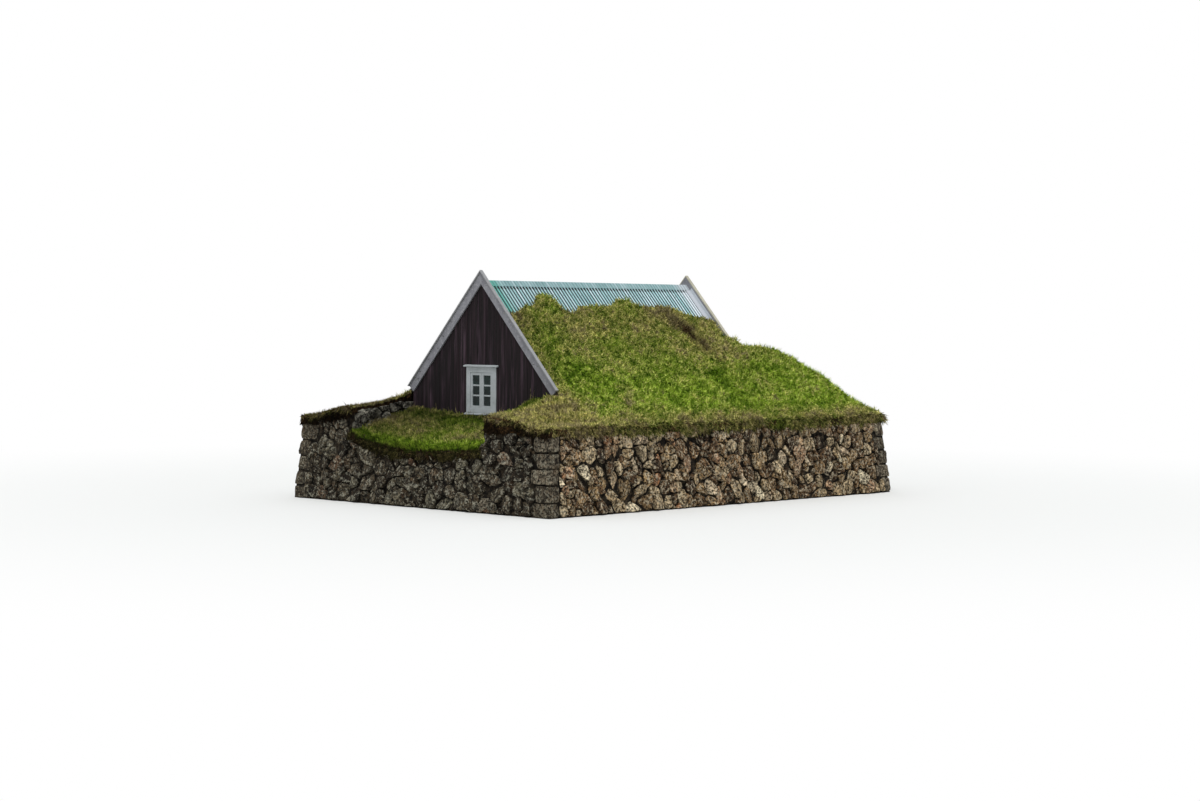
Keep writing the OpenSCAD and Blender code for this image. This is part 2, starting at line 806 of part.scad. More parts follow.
module front_turf_bank() {
    xs = [for (j = [0:court_cols]) court_x(j, fit)];
    ts = [for (i = [0:court_rows]) i / court_rows];
    // The lip hangs in front of the first row over the stone
    lip_top = [for (x = xs) [x, court_y(x, 0) - lip_over, court_grass_z(x, 0) - lip_round]];
    lip_foot = [for (x = xs) [x, court_y(x, 0) - lip_over, court_lip_z(x) - lip_drop]];
    top = [for (t = ts) [for (x = xs) [x, court_y(x, t) - fit, court_grass_z(x, t)]]];
    under = [for (t = ts) [for (x = xs) [x, court_y(x, t) - fit, court_stone_z(x, t) + fit]]];
    color("olivedrab") mound(concat([lip_top], top), concat([lip_foot], under));
}

// Height of the turf on an arm, which rises to its inner edge and to the barge board's foot
function arm_z(x, y, x0, crown, dip) = let (
        u = (x - x0) / (lip_x - x0),
        front_z = lip_z + crown * ease(1 - u / crown_share) - dip * bell(u, dip_share, dip_spread),
        gable_z = lerp(turf_foot_h, lip_z, max(0, x - foot_top[0]) / (lip_x - foot_top[0])))
    lerp(front_z, gable_z, pow(max(0, arm_t(y)), arm_pull)) + rough_arm * hummocks(x, y) * sin(180 * u);

module arm_turf(x0, kerb, crown, dip) {
    xs = concat(arm_xs(x0), [lip_x]);
    ys = concat([-half_l - lip_over], arm_ys);
    top = [for (y = ys) [for (x = xs) [x, y, arm_z(x, max(y, -half_l), x0, crown, dip)]]];
    under = [for (y = ys) [for (x = xs) let (head = arm_head(min(x, half_w), max(y, -half_l), x0, kerb))
        [x, y, x > half_w || y < -half_l ? head - lip_drop : head]]];
    color("darkkhaki") mound(top, under);
}

module right_arm_turf() {
    arm_turf(inner_x, false, right_crown, right_dip);
}

module left_arm_turf() {
    mirror([1, 0, 0]) arm_turf(court_left_x, true, left_crown, 0);
}

// Turf behind the rear gable, which rounds down to the rear wall and to the passage
function rear_z(x, y) = let (
        edge_x = edge_at(roof_y1) * cos(pitch),
        start_x = edge_x + crown_in,
        high = min(rear_crown_h, bank_z(max(x, start_x), roof_y1, edge_x)),
        rear_y = roof_y1 + rear_run,
        q = min(1, max(0, (y - rear_y) / (half_l + lip_over - rear_y))),
        round_down = pow(1 - q * q, rear_round),
        v = max(0, (start_x - x) / (start_x - passage_x)),
        crown = high - crown_drop * v * v)
    lerp(lip_z, crown, round_down) + rough_rear * hummocks(x, y) * sin(180 * q);

module rear_turf() {
    rows = 12;
    wall_steps = 7;
    inner_cols = 6;
    y0 = roof_y1 + fit;
    xs = concat([for (j = [0:inner_cols]) lerp(passage_x, inner_x, j / inner_cols)],
        [for (j = [0:wall_steps]) lerp(inner_x + step_run, half_w, j / wall_steps)], [lip_x]);
    ys = concat([for (i = [0:rows]) lerp(y0, half_l, i / rows)], [half_l + lip_over]);
    top = [for (y = ys) [for (x = xs) [x, y, rear_z(x, y)]]];
    under = [for (y = ys) [for (x = xs)
        [x, y, x > half_w || y > half_l ? wall_h - lip_drop : x > inner_x ? wall_h : passage_z(y)]]];
    color("olivedrab") difference() {
        mound(top, under);
        slope_layer(-barge_down - fit, barge_up + strip_t + fit, barge_l + strip_t,
            roof_y1 - strip_w, roof_y1 + strip_w + fit);
        slope_layer(-rafter_depth, barge_up, sheet_l + fit, roof_y1 - strip_w, roof_y1 + fit);
    }
}

module rear_right_turf() {
    rear_turf();
}

module rear_left_turf() {
    mirror([1, 0, 0]) rear_turf();
}

left_wall();
right_wall();
front_wall();
rear_left_wall();
rear_right_wall();
floor_sleepers();
floor_boards();
wall_plates();
rafters();
ridge_board();
collars();
left_roof_boards();
right_roof_boards();
left_iron_sheets();
right_iron_sheets();
ridge_cap();
front_flashings();
rear_flashings();
front_gable_frame();
rear_gable_frame();
front_gable_boards();
rear_gable_boards();
front_left_barge_board();
front_right_barge_board();
rear_left_barge_board();
rear_right_barge_board();
front_barge_caps();
rear_barge_caps();
window_casing();
window_drip_board();
window_sill();
left_casement();
right_casement();
window_glass();
door_leaf();
door_casing();
door_threshold();
door_ironwork();
left_turf_bank();
right_turf_bank();
front_turf_bank();
left_arm_turf();
right_arm_turf();
rear_left_turf();
rear_right_turf();
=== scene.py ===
"""Looks of a small turf house: rubble walls, turf banks, an iron roof, tarred gables, window and door."""
import logging
import math
import random
from collections.abc import Callable, Iterable, Sequence
from dataclasses import dataclass, field, replace
from enum import Enum
from functools import cache, cached_property
from itertools import product

import bmesh
import bpy
import numpy as np
from mathutils import Matrix, Vector, noise
from mathutils.bvhtree import BVHTree


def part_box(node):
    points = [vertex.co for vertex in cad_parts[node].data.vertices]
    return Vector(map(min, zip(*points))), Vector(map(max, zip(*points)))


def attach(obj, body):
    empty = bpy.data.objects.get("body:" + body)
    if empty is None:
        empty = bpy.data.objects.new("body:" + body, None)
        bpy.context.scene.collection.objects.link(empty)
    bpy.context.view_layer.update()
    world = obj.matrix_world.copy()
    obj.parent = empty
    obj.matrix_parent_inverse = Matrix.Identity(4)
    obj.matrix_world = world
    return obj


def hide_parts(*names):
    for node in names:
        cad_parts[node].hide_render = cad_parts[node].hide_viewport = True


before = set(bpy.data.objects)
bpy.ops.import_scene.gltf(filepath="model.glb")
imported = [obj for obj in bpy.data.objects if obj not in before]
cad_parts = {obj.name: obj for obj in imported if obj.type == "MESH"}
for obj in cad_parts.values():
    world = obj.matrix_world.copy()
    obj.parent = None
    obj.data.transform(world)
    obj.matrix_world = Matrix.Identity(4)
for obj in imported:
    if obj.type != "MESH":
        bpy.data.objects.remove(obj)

LOG = logging.getLogger("turf_house")
SEED = 7
BODY = "root"
X, Y, Z = 0, 1, 2
NUMBER, VECTOR = "FLOAT", "FLOAT_VECTOR"
Point = tuple[float, float]
Place = Sequence[float]
Object = bpy.types.Object
Material = bpy.types.Material
Socket = bpy.types.NodeSocket


def span(node: str, axis: int) -> Point:
    """Gives where a CAD node begins and ends along an axis, to a tenth of a millimetre."""
    return tuple(round(corner[axis], 4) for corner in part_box(node))


@dataclass(frozen=True)
class House:
    """Sizes that several parts of the house share, in metres."""

    half_w: float = span("right_wall", X)[1]
    half_l: float = span("right_wall", Y)[1]
    court: Point = span("front_wall", X)
    front: float = span("left_iron_sheets", Y)[0]
    rear: float = span("left_iron_sheets", Y)[1]
    ridge_z: float = 3.8502
    pitch: float = math.radians(47.5)
    wave: float = 0.0762


HOUSE = House()


def tone(code: str) -> tuple[float, ...]:
    """Turns a colour as it shows on a screen into the linear one that a shader takes.

    Args:
        code: Six hexadecimal digits.

    Returns:
        Red, green, blue and alpha.
    """
    parts = [int(code[i:i + 2], 16) / 255 for i in (0, 2, 4)]
    linear = [p / 12.92 if p <= 0.04045 else ((p + 0.055) / 1.055) ** 2.4 for p in parts]
    return (*linear, 1.0)


def ease(value: float, low: float, high: float) -> float:
    """Rises smoothly from 0 at low to 1 at high."""
    share = min(1.0, max(0.0, (value - low) / (high - low)))
    return share * share * (3 - 2 * share)


# Node trees

class Tree:
    """A node tree whose nodes all come from one method."""

    def __init__(self, tree: bpy.types.NodeTree) -> None:
        """Starts on an empty tree."""
        self.tree = tree
        self.tree.nodes.clear()

    def node(self, kind: str, settings: dict | None = None, inputs: dict | None = None) -> bpy.types.Node:
        """Adds one node.

        Args:
            kind: The node's type.
            settings: Its properties.
            inputs: Values or links, by socket name or number.

        Returns:
            The new node.
        """
        made = self.tree.nodes.new(kind)
        for key, value in (settings or {}).items():
            setattr(made, key, value)
        for key, value in (inputs or {}).items():
            self.feed(made.inputs[key], value)
        return made

    def feed(self, socket: Socket, value: object) -> None:
        """Links a socket to what it takes, or sets its value.

        Args:
            socket: The input.
            value: A field, another socket, a list of them or a plain value.
        """
        for source in value if isinstance(value, list) else [value]:
            source = source.socket if isinstance(source, Field) else source
            if isinstance(source, Socket):
                self.tree.links.new(source, socket)
            else:
                socket.default_value = source

    def out(self, kind: str, settings: dict | None = None, **inputs: object) -> "Field":
        """Adds one node and gives its first output; _ stands for a space in an input's name."""
        named = {key.replace("_", " "): value for key, value in inputs.items()}
        return Field(self, self.node(kind, settings, named).outputs[0])

    def math(self, operation: str, *terms: object) -> "Field":
        """Adds one Math node on numbers."""
        made = self.node("ShaderNodeMath", {"operation": operation}, dict(enumerate(terms)))
        return Field(self, made.outputs[0])

    def vector(self, operation: str, *terms: object) -> "Field":
        """Adds one Vector Math node."""
        made = self.node("ShaderNodeVectorMath", {"operation": operation}, dict(enumerate(terms)))
        return Field(self, made.outputs["Value" if operation == "DOT_PRODUCT" else "Vector"])

    def scaled(self, way: object, size: object) -> "Field":
        """Multiplies a vector or a colour by a number."""
        return self.out("ShaderNodeVectorMath", {"operation": "SCALE"}, Vector=way, Scale=size)

    def axis(self, letter: str, vector: object = None) -> "Field":
        """Gives one axis of a vector, or of the place."""
        return Field(self, self.node("ShaderNodeSeparateXYZ", {}, {0: vector or self.place}).outputs[letter])

    def noise(self, scale: float, detail: float = 2, rough: float = 0.5, at: object = None) -> "Field":
        """Gives cloudy noise from 0 to 1 with so many waves in a metre, read at the place unless told."""
        inputs = {"Vector": at or self.place, "Scale": scale, "Detail": detail, "Roughness": rough}
        return self.out("ShaderNodeTexNoise", **inputs)

    def shake(self, scale: float, detail: float = 2) -> "Field":
        """Gives noise as a vector from -0.5 to 0.5 on each axis."""
        made = self.node("ShaderNodeTexNoise", {}, {"Vector": self.place, "Scale": scale, "Detail": detail})
        return self.vector("SUBTRACT", made.outputs[1], (0.5, 0.5, 0.5))


def operator(operation: str, swapped: bool = False) -> Callable[["Field", object], "Field"]:
    """Makes an operator of a field.

    Args:
        operation: What its Math node does.
        swapped: Whether the field is the second term.

    Returns:
        The method.
    """
    def method(self: "Field", other: object) -> "Field":
        """Adds the Math node."""
        return self.tree.math(operation, *((other, self) if swapped else (self, other)))
    return method


class Field:
    """A socket that takes part in sums."""

    def __init__(self, tree: Tree, socket: Socket) -> None:
        """Wraps a socket of a tree."""
        self.tree = tree
        self.socket = socket

    __add__, __radd__ = operator("ADD"), operator("ADD", True)
    __sub__, __rsub__ = operator("SUBTRACT"), operator("SUBTRACT", True)
    __mul__, __rmul__ = operator("MULTIPLY"), operator("MULTIPLY", True)
    __truediv__, __rtruediv__ = operator("DIVIDE"), operator("DIVIDE", True)
    __gt__, __lt__ = operator("GREATER_THAN"), operator("LESS_THAN")

    def band(self, low: float, high: float, start: float = 0.0, end: float = 1.0) -> "Field":
        """Maps low..high to start..end smoothly, and holds it there outside."""
        ends = {"From_Min": low, "From_Max": high, "To_Min": start, "To_Max": end}
        return self.tree.out("ShaderNodeMapRange", {"interpolation_type": "SMOOTHSTEP"}, Value=self, **ends)


class Surface(Tree):
    """The node tree of one material."""

    def __init__(self, name: str) -> None:
        """Makes a material with one shader and its Object coordinates.

        Args:
            name: The material's name.
        """
        self.material = bpy.data.materials.new(name)
        self.material.use_nodes = True
        super().__init__(self.material.node_tree)
        self.shader = self.node("ShaderNodeBsdfPrincipled")
        self.end = self.node("ShaderNodeOutputMaterial", {}, {"Surface": self.shader.outputs[0]})
        self.place = self.node("ShaderNodeTexCoord").outputs["Object"]

    def feed(self, socket: Socket, value: object) -> None:
        """Links or sets a socket, with a colour given by its code."""
        super().feed(socket, tone(value) if isinstance(value, str) else value)

    def stretched(self, *scale: float) -> Field:
        """Gives the place with each axis scaled."""
        return self.out("ShaderNodeMapping", Vector=self.place, Scale=scale)

    def mix(self, share: object, first: object, second: object) -> Field:
        """Mixes two colours by the share of the second."""
        made = self.node("ShaderNodeMix", {"data_type": "RGBA"}, {0: share, 6: first, 7: second})
        return Field(self, made.outputs[2])

    def coats(self, base: object, *coats: tuple[object, object]) -> object:
        """Lays colours over a base, one after the other.

        Args:
            base: The colour below.
            *coats: The share and the colour of each.

        Returns:
            The colour that shows.
        """
        for share, colour in coats:
            base = self.mix(share, base, colour)
        return base

    def ramp(self, value: object, *stops: tuple[float, str]) -> Field:
        """Turns a number into a colour.

        Args:
            value: The number.
            *stops: The place and the colour of each stop.

        Returns:
            The colour.
        """
        made = self.node("ShaderNodeValToRGB", {}, {0: value})
        elements = made.color_ramp.elements
        while len(elements) < len(stops):
            elements.new(1.0)
        for element, (place, code) in zip(elements, stops):
            element.position = place
            element.color = tone(code)
        return Field(self, made.outputs[0])

    def attribute(self, name: str) -> Field:
        """Reads a number that the mesh carries."""
        return Field(self, self.node("ShaderNodeAttribute", {"attribute_name": name}).outputs["Fac"])

    def finish(self, base: object, rough: object, height: object = None, relief: float = 0.01,
               **fixed: object) -> Material:
        """Feeds the shader.

        Args:
            base: The colour.
            rough: The roughness.
            height: What the bump follows.
            relief: Depth of the bump in metres.
            **fixed: Values of other shader sockets, with _ for a space.

        Returns:
            The material.
        """
        self.feed(self.shader.inputs["Base Color"], base)
        self.feed(self.shader.inputs["Roughness"], rough)
        for key, value in fixed.items():
            self.shader.inputs[key.replace("_", " ")].default_value = value
        if height is not None:
            bump = self.out("ShaderNodeBump", Height=height, Distance=relief, Strength=1.0)
            self.feed(self.shader.inputs["Normal"], bump)
        return self.material


# Finishes

@dataclass(frozen=True)
class StoneFinish:
    """Grey-brown basalt with pale lichen and a few rusty stones, and painted shade on the sides of each
    stone.
    """

    name: str
    stops: tuple[tuple[float, str], ...]
    lichen: str
    lichen_share: float = 0.7
    pit: str = "15120d"
    stain: str = "5a4028"
    pores: Point = (0.45, 1.6)

    def make(self) -> Material:
        """Builds the material.

        Returns:
            The material.
        """
        s = Surface(self.name)
        patch = s.noise(8, 5, 0.75)
        crust = s.noise(15, 4, 0.8)
        holes = s.noise(27, 2, 0.8)
        light = patch.band(0.38, 0.62, 0.55, 1.45) * holes.band(0.36, 0.6, self.pores[1], self.pores[0])
        base = s.coats(
            s.scaled(s.ramp(s.attribute("tone"), *self.stops), light),
            (s.noise(3.1, 3, 0.5).band(0.6, 0.74) * 0.35, self.stain),
            (crust.band(0.52, 0.57) * patch.band(0.36, 0.56, 0.3, 1.0) * self.lichen_share, self.lichen),
            (holes.band(0.56, 0.61) * 0.85, self.pit))
        # Painted shade: each stone darkens down its sides towards the joints, by the relief its points carry.
        depth = s.attribute("relief").band(0.1, 0.78, 0.08, 1.0)
        height = patch + crust * 0.5 - holes.band(0.5, 0.6) * 0.4
        return s.finish(s.scaled(base, depth), 0.93, height, 0.06, Specular_IOR_Level=0.15)


@dataclass(frozen=True)
class CoreFinish:
    """The heart of the walls: dark earth between the outer stones, bedded stones inside the room."""

    name: str = "wall_core"
    half: float = 1.65
    front: float = -2.85
    back: float = 2.25
    stone: tuple[float, float, float] = (3.4, 3.4, 5.2)

    def make(self) -> Material:
        """Builds the material.

        Returns:
            The material.
        """
        s = Surface(self.name)
        across, along = s.axis("X"), s.axis("Y")
        inside = (across * across < self.half ** 2) * (along > self.front) * (along < self.back)
        at = {"Vector": s.vector("ADD", s.stretched(*self.stone), s.shake(3)), "Scale": 1.0}
        cells = s.node("ShaderNodeTexVoronoi", {"feature": "F1"}, at)
        gap = s.out("ShaderNodeTexVoronoi", {"feature": "DISTANCE_TO_EDGE"}, **at).band(0.03, 0.16)
        pick = s.axis("X", cells.outputs["Color"])
        stone = s.ramp(pick, (0.0, "3d3830"), (0.5, "575146"), (1.0, "6f6a5e"))
        stone = s.scaled(stone, s.noise(24, 5, 0.7).band(0.25, 0.75, 0.6, 1.3))
        earth = s.ramp(s.noise(11, 3, 0.7), (0.42, "080604"), (0.52, "1f1a13"), (0.62, "3a3227"))
        height = gap * 0.7 + s.noise(40, 4, 0.7) * 0.3
        return s.finish(s.mix(gap * inside, earth, stone), 0.96, height, 0.03, Specular_IOR_Level=0.15)


@dataclass(frozen=True)
class TurfFinish:
    """Living turf: green grass, dry straw and bare soil, placed by the mesh's own zones, with painted light
    and shade.
    """

    name: str
    lush: tuple[str, str] = ("557911", "8a9e37")
    dry: tuple[str, str] = ("757037", "b1a869")
    dead: str = "4b4136"
    soil: tuple[str, str] = ("150e08", "48351f")
    gain: float = 1.9
    blades: bool = False

    def make(self) -> Material:
        """Builds the material.

        Returns:
            The material.
        """
        s = Surface(self.name)
        broad = s.noise(1.4, 3, 0.55)
        tuft = s.noise(6.5, 4, 0.7)
        lock = s.noise(1.0, 3, 0.7, s.stretched(11, 24, 11))
        fine = s.noise(48, 3, 0.75)
        dryness = s.attribute("dry")
        share = dryness + (broad - 0.5) * 1.3 + (tuft - 0.5) * 0.9 + (lock - 0.5) * 1.5
        light = tuft.band(0.34, 0.62, 0.52, 1.35) * lock.band(0.38, 0.64, 0.4, 1.45)
        # Painted light and shade: the light number that the ground carries brightens or darkens the colour.
        light = light * broad.band(0.35, 0.65, 0.82, 1.15) * s.attribute("light") * self.gain
        if self.blades:
            straw = s.attribute("straw")
            share = share + (straw - 0.5) * 0.6
            # Painted shade: blades darken towards their bases and lighten at their tips.
            light = light * s.attribute("tip").band(0.0, 0.8, 0.6, 1.3) * straw.band(0, 1, 0.8, 1.3)
        else:
            light = light * fine.band(0.3, 0.7, 0.5, 1.15)
        base = s.coats(
            s.mix(tuft.band(0.3, 0.7), *self.lush),
            (share.band(0.15, 0.85), s.mix(fine.band(0.35, 0.65), *self.dry)),
            ((tuft + dryness * 0.22 + (broad - 0.5) * 0.5).band(0.66, 0.74) * 0.75, self.dead),
            ((s.attribute("soil") + (tuft - 0.5) * 0.9 + (lock - 0.5) * 0.5).band(0.35, 0.65),
             s.mix(fine.band(0.35, 0.7), *self.soil)))
        height = fine + lock * 2.0 + tuft * 2.0
        return s.finish(s.scaled(base, light), 0.95, height, 0.03, Specular_IOR_Level=0.05)


@dataclass(frozen=True)
class IronFinish:
    """Pale green paint on corrugated iron, chalked and streaked down the slope."""

    name: str
    clean: str = "86acae"
    chalk: str = "bccfd4"
    dull: str = "6a9092"
    rust: str = "7c6c55"
    chips: str = "4b5a56"
    soil: str = "2b2718"
    soiled: Point = (1.95, 2.1)
    valley_dirt_and_shade: str = "1d3536"
    fresh: str = "2a9a84"
    fresh_reach: Point = (0.08, 0.5)
    pale: str = "c4c9cf"
    pale_reach: Point = (0.16, 0.42)
    waves: bool = False
    cap_wave_shade: float = 0.0
    cap_edge: float = 0.162

    def make(self) -> Material:
        """Builds the material.

        Returns:
            The material.
        """
        s = Surface(self.name)
        streak = s.noise(1.0, 4, 0.6, s.stretched(0.7, 13, 0.7))
        stain = s.noise(1.0, 5, 0.7, s.stretched(1.1, 9, 1.1))
        cloud = s.noise(2.2, 3, 0.6)
        speck = s.noise(60, 2, 0.6)
        base = s.coats(
            s.mix(streak.band(0.35, 0.68), self.clean, self.chalk),
            (cloud.band(0.45, 0.75) * 0.5, self.dull),
            (stain.band(0.66, 0.76) * 0.3, self.rust),
            (speck.band(0.68, 0.74) * 0.3, self.chips))
        base = s.mix(s.axis("Z").band(*self.soiled, 1.0, 0.0), self.corrugate(s, base, streak), self.soil)
        rough = streak.band(0.2, 0.8, 0.55, 0.75)
        return s.finish(base, rough, cloud + speck * 0.2, 0.002, Specular_IOR_Level=0.3)

    def corrugate(self, s: Surface, base: object, streak: Field) -> object:
        """Paints shade in the valleys, partly as dirt, highlights on the crests and a shadow line under the
        cap, and sets the paint's own zones along the roof.

        Args:
            s: The material's tree.
            base: The colour so far.
            streak: Streaks down the slope.

        Returns:
            The new colour.
        """
        along = s.axis("Y")
        deep = 0.5 - s.math("COSINE", (along - HOUSE.front) * (2 * math.pi / HOUSE.wave)) * 0.5
        near = along.band(*(HOUSE.front + reach for reach in self.fresh_reach), 0.8, 0.0)
        far = along.band(*(HOUSE.rear - reach for reach in reversed(self.pale_reach)), 0.0, 0.8)
        base = s.coats(base, (near, self.fresh), (far, self.pale))
        if not self.waves:
            # On a plain cap, painted shade in stripes where waves would be.
            return s.mix(deep.band(0.3, 0.9) * self.cap_wave_shade, base, self.valley_dirt_and_shade)
        # Painted highlight on the crests, stronger towards the rear, and a little painted shade in the
        # valleys.
        crest = along.band(HOUSE.front, HOUSE.rear, 1.35, 1.7)
        base = s.scaled(base, deep.band(0.0, 0.4) * (0.95 - crest) + crest)
        # Painted shade in the valleys, partly dirt, lighter near the rear verge.
        dark = deep.band(0.25, 0.7) * (1 - far * 0.6) * streak.band(0.3, 0.7, 0.85, 1.0)
        down = (HOUSE.ridge_z - s.axis("Z")) * (1 / math.sin(HOUSE.pitch))
        edge = self.cap_edge
        # Painted shadow: a dark line just below the cap's edge, darkest in the valleys.
        shadow = down.band(edge, edge + 0.02) * down.band(edge + 0.04, edge + 0.08, 1.0, 0.0)
        return s.coats(base, (dark, self.valley_dirt_and_shade), (shadow * deep.band(0.1, 0.5, 0.3, 1.0), "0d1716"))


@dataclass(frozen=True)
class BoardFinish:
    """Boards with grain and weather along their length."""

    name: str
    dark: str
    mid: str
    pale: str
    grain: tuple[float, float, float] = (34.0, 34.0, 1.6)
    rough: float = 0.78
    wear: float = 0.35

    def make(self) -> Material:
        """Builds the material.

        Returns:
            The material.
        """
        s = Surface(self.name)
        fibre = s.noise(1.0, 5, 0.65, s.stretched(*self.grain))
        broad = s.noise(1.0, 3, 0.6, s.stretched(*(g * 0.22 for g in self.grain)))
        base = s.mix(fibre.band(0.36, 0.66), self.dark, self.mid)
        base = s.mix(broad.band(0.45, 0.65) * fibre.band(0.42, 0.62) * self.wear, base, self.pale)
        base = s.scaled(base, s.attribute("tone").band(0.0, 1.0, 0.72, 1.32))
        rough = fibre.band(0.2, 0.8, self.rough - 0.1, self.rough + 0.12)
        return s.finish(base, rough, fibre + broad * 0.5, 0.006, Specular_IOR_Level=0.16)


@dataclass(frozen=True)
class PaintFinish:
    """Weathered paint with dirt and lichen."""

    name: str
    clean: str
    grime: str
    bare: str
    bare_share: float
    rough: float

    def make(self) -> Material:
        """Builds the material.

        Returns:
            The material.
        """
        s = Surface(self.name)
        cloud = s.noise(6, 5, 0.7)
        fine = s.noise(24, 4, 0.75)
        base = s.mix(cloud.band(0.35, 0.7) * 0.7, self.clean, self.grime)
        base = s.mix(fine.band(0.54, 0.62) * cloud.band(0.38, 0.55) * self.bare_share, base, self.bare)
        rough = cloud.band(0.2, 0.8, self.rough - 0.08, self.rough + 0.15)
        base = s.scaled(base, fine.band(0.2, 0.8, 0.9, 1.08))
        return s.finish(base, rough, fine + cloud, 0.002, Specular_IOR_Level=0.4)


@dataclass(frozen=True)
class GlassFinish:
    """Old window glass, a little uneven, painted near black for the shade of the room behind it."""

    name: str = "old_glass"

    def make(self) -> Material:
        """Builds the material.

        Returns:
            The material.
        """
        s = Surface(self.name)
        # Painted shade: the glass is dark green-black for the unlit room behind it.
        room_shade = s.mix(s.noise(9, 4, 0.6).band(0.4, 0.8), "091615", "1a322f")
        return s.finish(room_shade, 0.12, s.noise(5, 2, 0.4), 0.002, IOR=1.45, Specular_IOR_Level=0.2)


@dataclass(frozen=True)
class BlackIronFinish:
    """Forged iron blackened against rust."""

    name: str = "forged_iron"

    def make(self) -> Material:
        """Builds the material.

        Returns:
            The material.
        """
        s = Surface(self.name)
        scale = s.noise(30, 4, 0.7)
        base = s.mix(scale.band(0.45, 0.75) * 0.6, "191817", "4a3526")
        return s.finish(base, scale.band(0.2, 0.8, 0.42, 0.7), scale, 0.001, Metallic=0.7)


class Paint(Enum):
    """Every finish of the house."""

    # The front and left rubble is darker and greyer than the side rubble: partly the stones' own colour,
    # partly painted shade on the front and left faces.
    FRONT_STONE = StoneFinish("front_rubble", ((0.0, "261f17"), (0.3, "3a3226"), (0.6, "4c4335"),
                                               (0.85, "5d5848"), (0.94, "4f3827"), (1.0, "7b7463")),
                              "b0ac99", 0.72, pores=(0.45, 1.5))
    SIDE_STONE = StoneFinish("side_rubble", ((0.0, "3b2c1e"), (0.22, "6b533a"), (0.48, "8d7553"),
                                             (0.74, "ad9a7a"), (0.87, "8e6342"), (1.0, "cfc2a3")),
                             "dccfb2", 0.74, "100a05", pores=(0.36, 1.65))
    QUOIN_STONE = StoneFinish("quoin_basalt", ((0.0, "40382c"), (0.5, "5a5143"), (1.0, "756b5a")), "9a9481")
    COURT_STONE = StoneFinish("lichened_rubble", ((0.0, "45423a"), (0.5, "615e54"), (1.0, "7a776b")),
                              "9b988b", 0.8)
    CORE = CoreFinish()
    TURF = TurfFinish("turf_ground")
    GRASS = TurfFinish("turf_blades", blades=True)
    # The hanging roots take darker colours and a lower gain than the grass: partly the roots' and soil's own
    # colour, partly painted shade under the overhang.
    SHADED_ROOTS = TurfFinish("hanging_roots_in_shade", lush=("2b350f", "66742b"), dry=("463b1f", "a0955e"),
                       soil=("0d0905", "2b2014"), gain=1.3, blades=True)
    SHEET = IronFinish("sheet_paint", waves=True)
    # The ridge cap carries painted shade in stripes, as if waves ran under it.
    CAP_IRON = IronFinish("ridge_paint", "7fa3a4", "a6bec2", "6b8f90", cap_wave_shade=0.35)
    FLASHING = IronFinish("verge_paint", "2f9480", "55a594", "2b7568")
    REAR_FLASHING = IronFinish("rear_verge_paint", "9a9fa6", "b3b7bd", "7f868c")
    TAR = BoardFinish("tarred_wood", "0e0a0b", "241a1e", "50404a", wear=0.6)
    BARGE = PaintFinish("barge_weathered", "86868b", "6b6a70", "a3a3a4", 0.6, 0.7)
    CAP = PaintFinish("cap_grey", "9a9a9b", "7f8082", "6f7074", 0.4, 0.65)
    REAR_CAP = PaintFinish("cap_cream", "bbb6a2", "9c9988", "85867c", 0.3, 0.6)
    WHITE = PaintFinish("joinery_white", "a9aeb0", "929898", "7d8079", 0.35, 0.55)
    TIMBER = BoardFinish("frame_wood", "4a3625", "6d5237", "8b7353", (9.0, 9.0, 9.0), 0.8)
    FLOOR = BoardFinish("floor_wood", "4b3c2c", "69563f", "84735a", (40.0, 1.4, 40.0), 0.75)
    LINING = BoardFinish("lining_wood", "51402d", "735b3f", "927b5c", (40.0, 1.4, 40.0), 0.8)
    GLASS = GlassFinish()
    IRON = BlackIronFinish()

    @cache
    def material(self) -> Material:
        """Makes the material once."""
        return self.value.make()


# Meshes

BOX_FACES = ((0, 1, 3, 2), (4, 6, 7, 5), (0, 4, 5, 1), (2, 3, 7, 6), (0, 2, 6, 4), (1, 5, 7, 3))


def new_object(name: str, data: bpy.types.ID) -> Object:
    """Puts a mesh, a lamp or a camera into the scene.

    Args:
        name: The object's name.
        data: What it shows.

    Returns:
        The object.
    """
    made = bpy.data.objects.new(name, data)
    bpy.context.scene.collection.objects.link(made)
    return made


def carry(piece: Object, **numbers: object) -> None:
    """Writes numbers on the points of a piece.

    Args:
        piece: The piece.
        **numbers: One number for all its points or one for each, by name.
    """
    mesh = piece.data
    for key, values in numbers.items():
        held = mesh.attributes.get(key) or mesh.attributes.new(key, NUMBER, "POINT")
        held.data.foreach_set("value", np.full(len(mesh.vertices), values, np.float32))


def shape(name: str, points: Sequence[Place], faces: Sequence[Sequence[int]]) -> Object:
    """Makes an object from points and faces.

    Args:
        name: The object's name.
        points: Places in metres.
        faces: Corners of each face.

    Returns:
        The object.
    """
    mesh = bpy.data.meshes.new(name)
    mesh.from_pydata([tuple(p) for p in points], [], [tuple(f) for f in faces])
    return new_object(name, mesh)


def outlined(name: str, outlines: Iterable[Sequence[Place]], away: Vector) -> Object:
    """Makes flat faces that all face one way.

    Args:
        name: The object's name.
        outlines: Places of the corners of each face.
        away: The way that they face.

    Returns:
        The object.
    """
    points: list[Place] = []
    faces: list[range] = []
    for outline in outlines:
        faces.append(range(len(points), len(points) + len(outline)))
        points += outline
    made = shape(name, points, faces)
    made.data.update()
    for polygon in made.data.polygons:
        if polygon.normal.dot(away) < 0:
            polygon.flip()
    made.data.update()
    return made


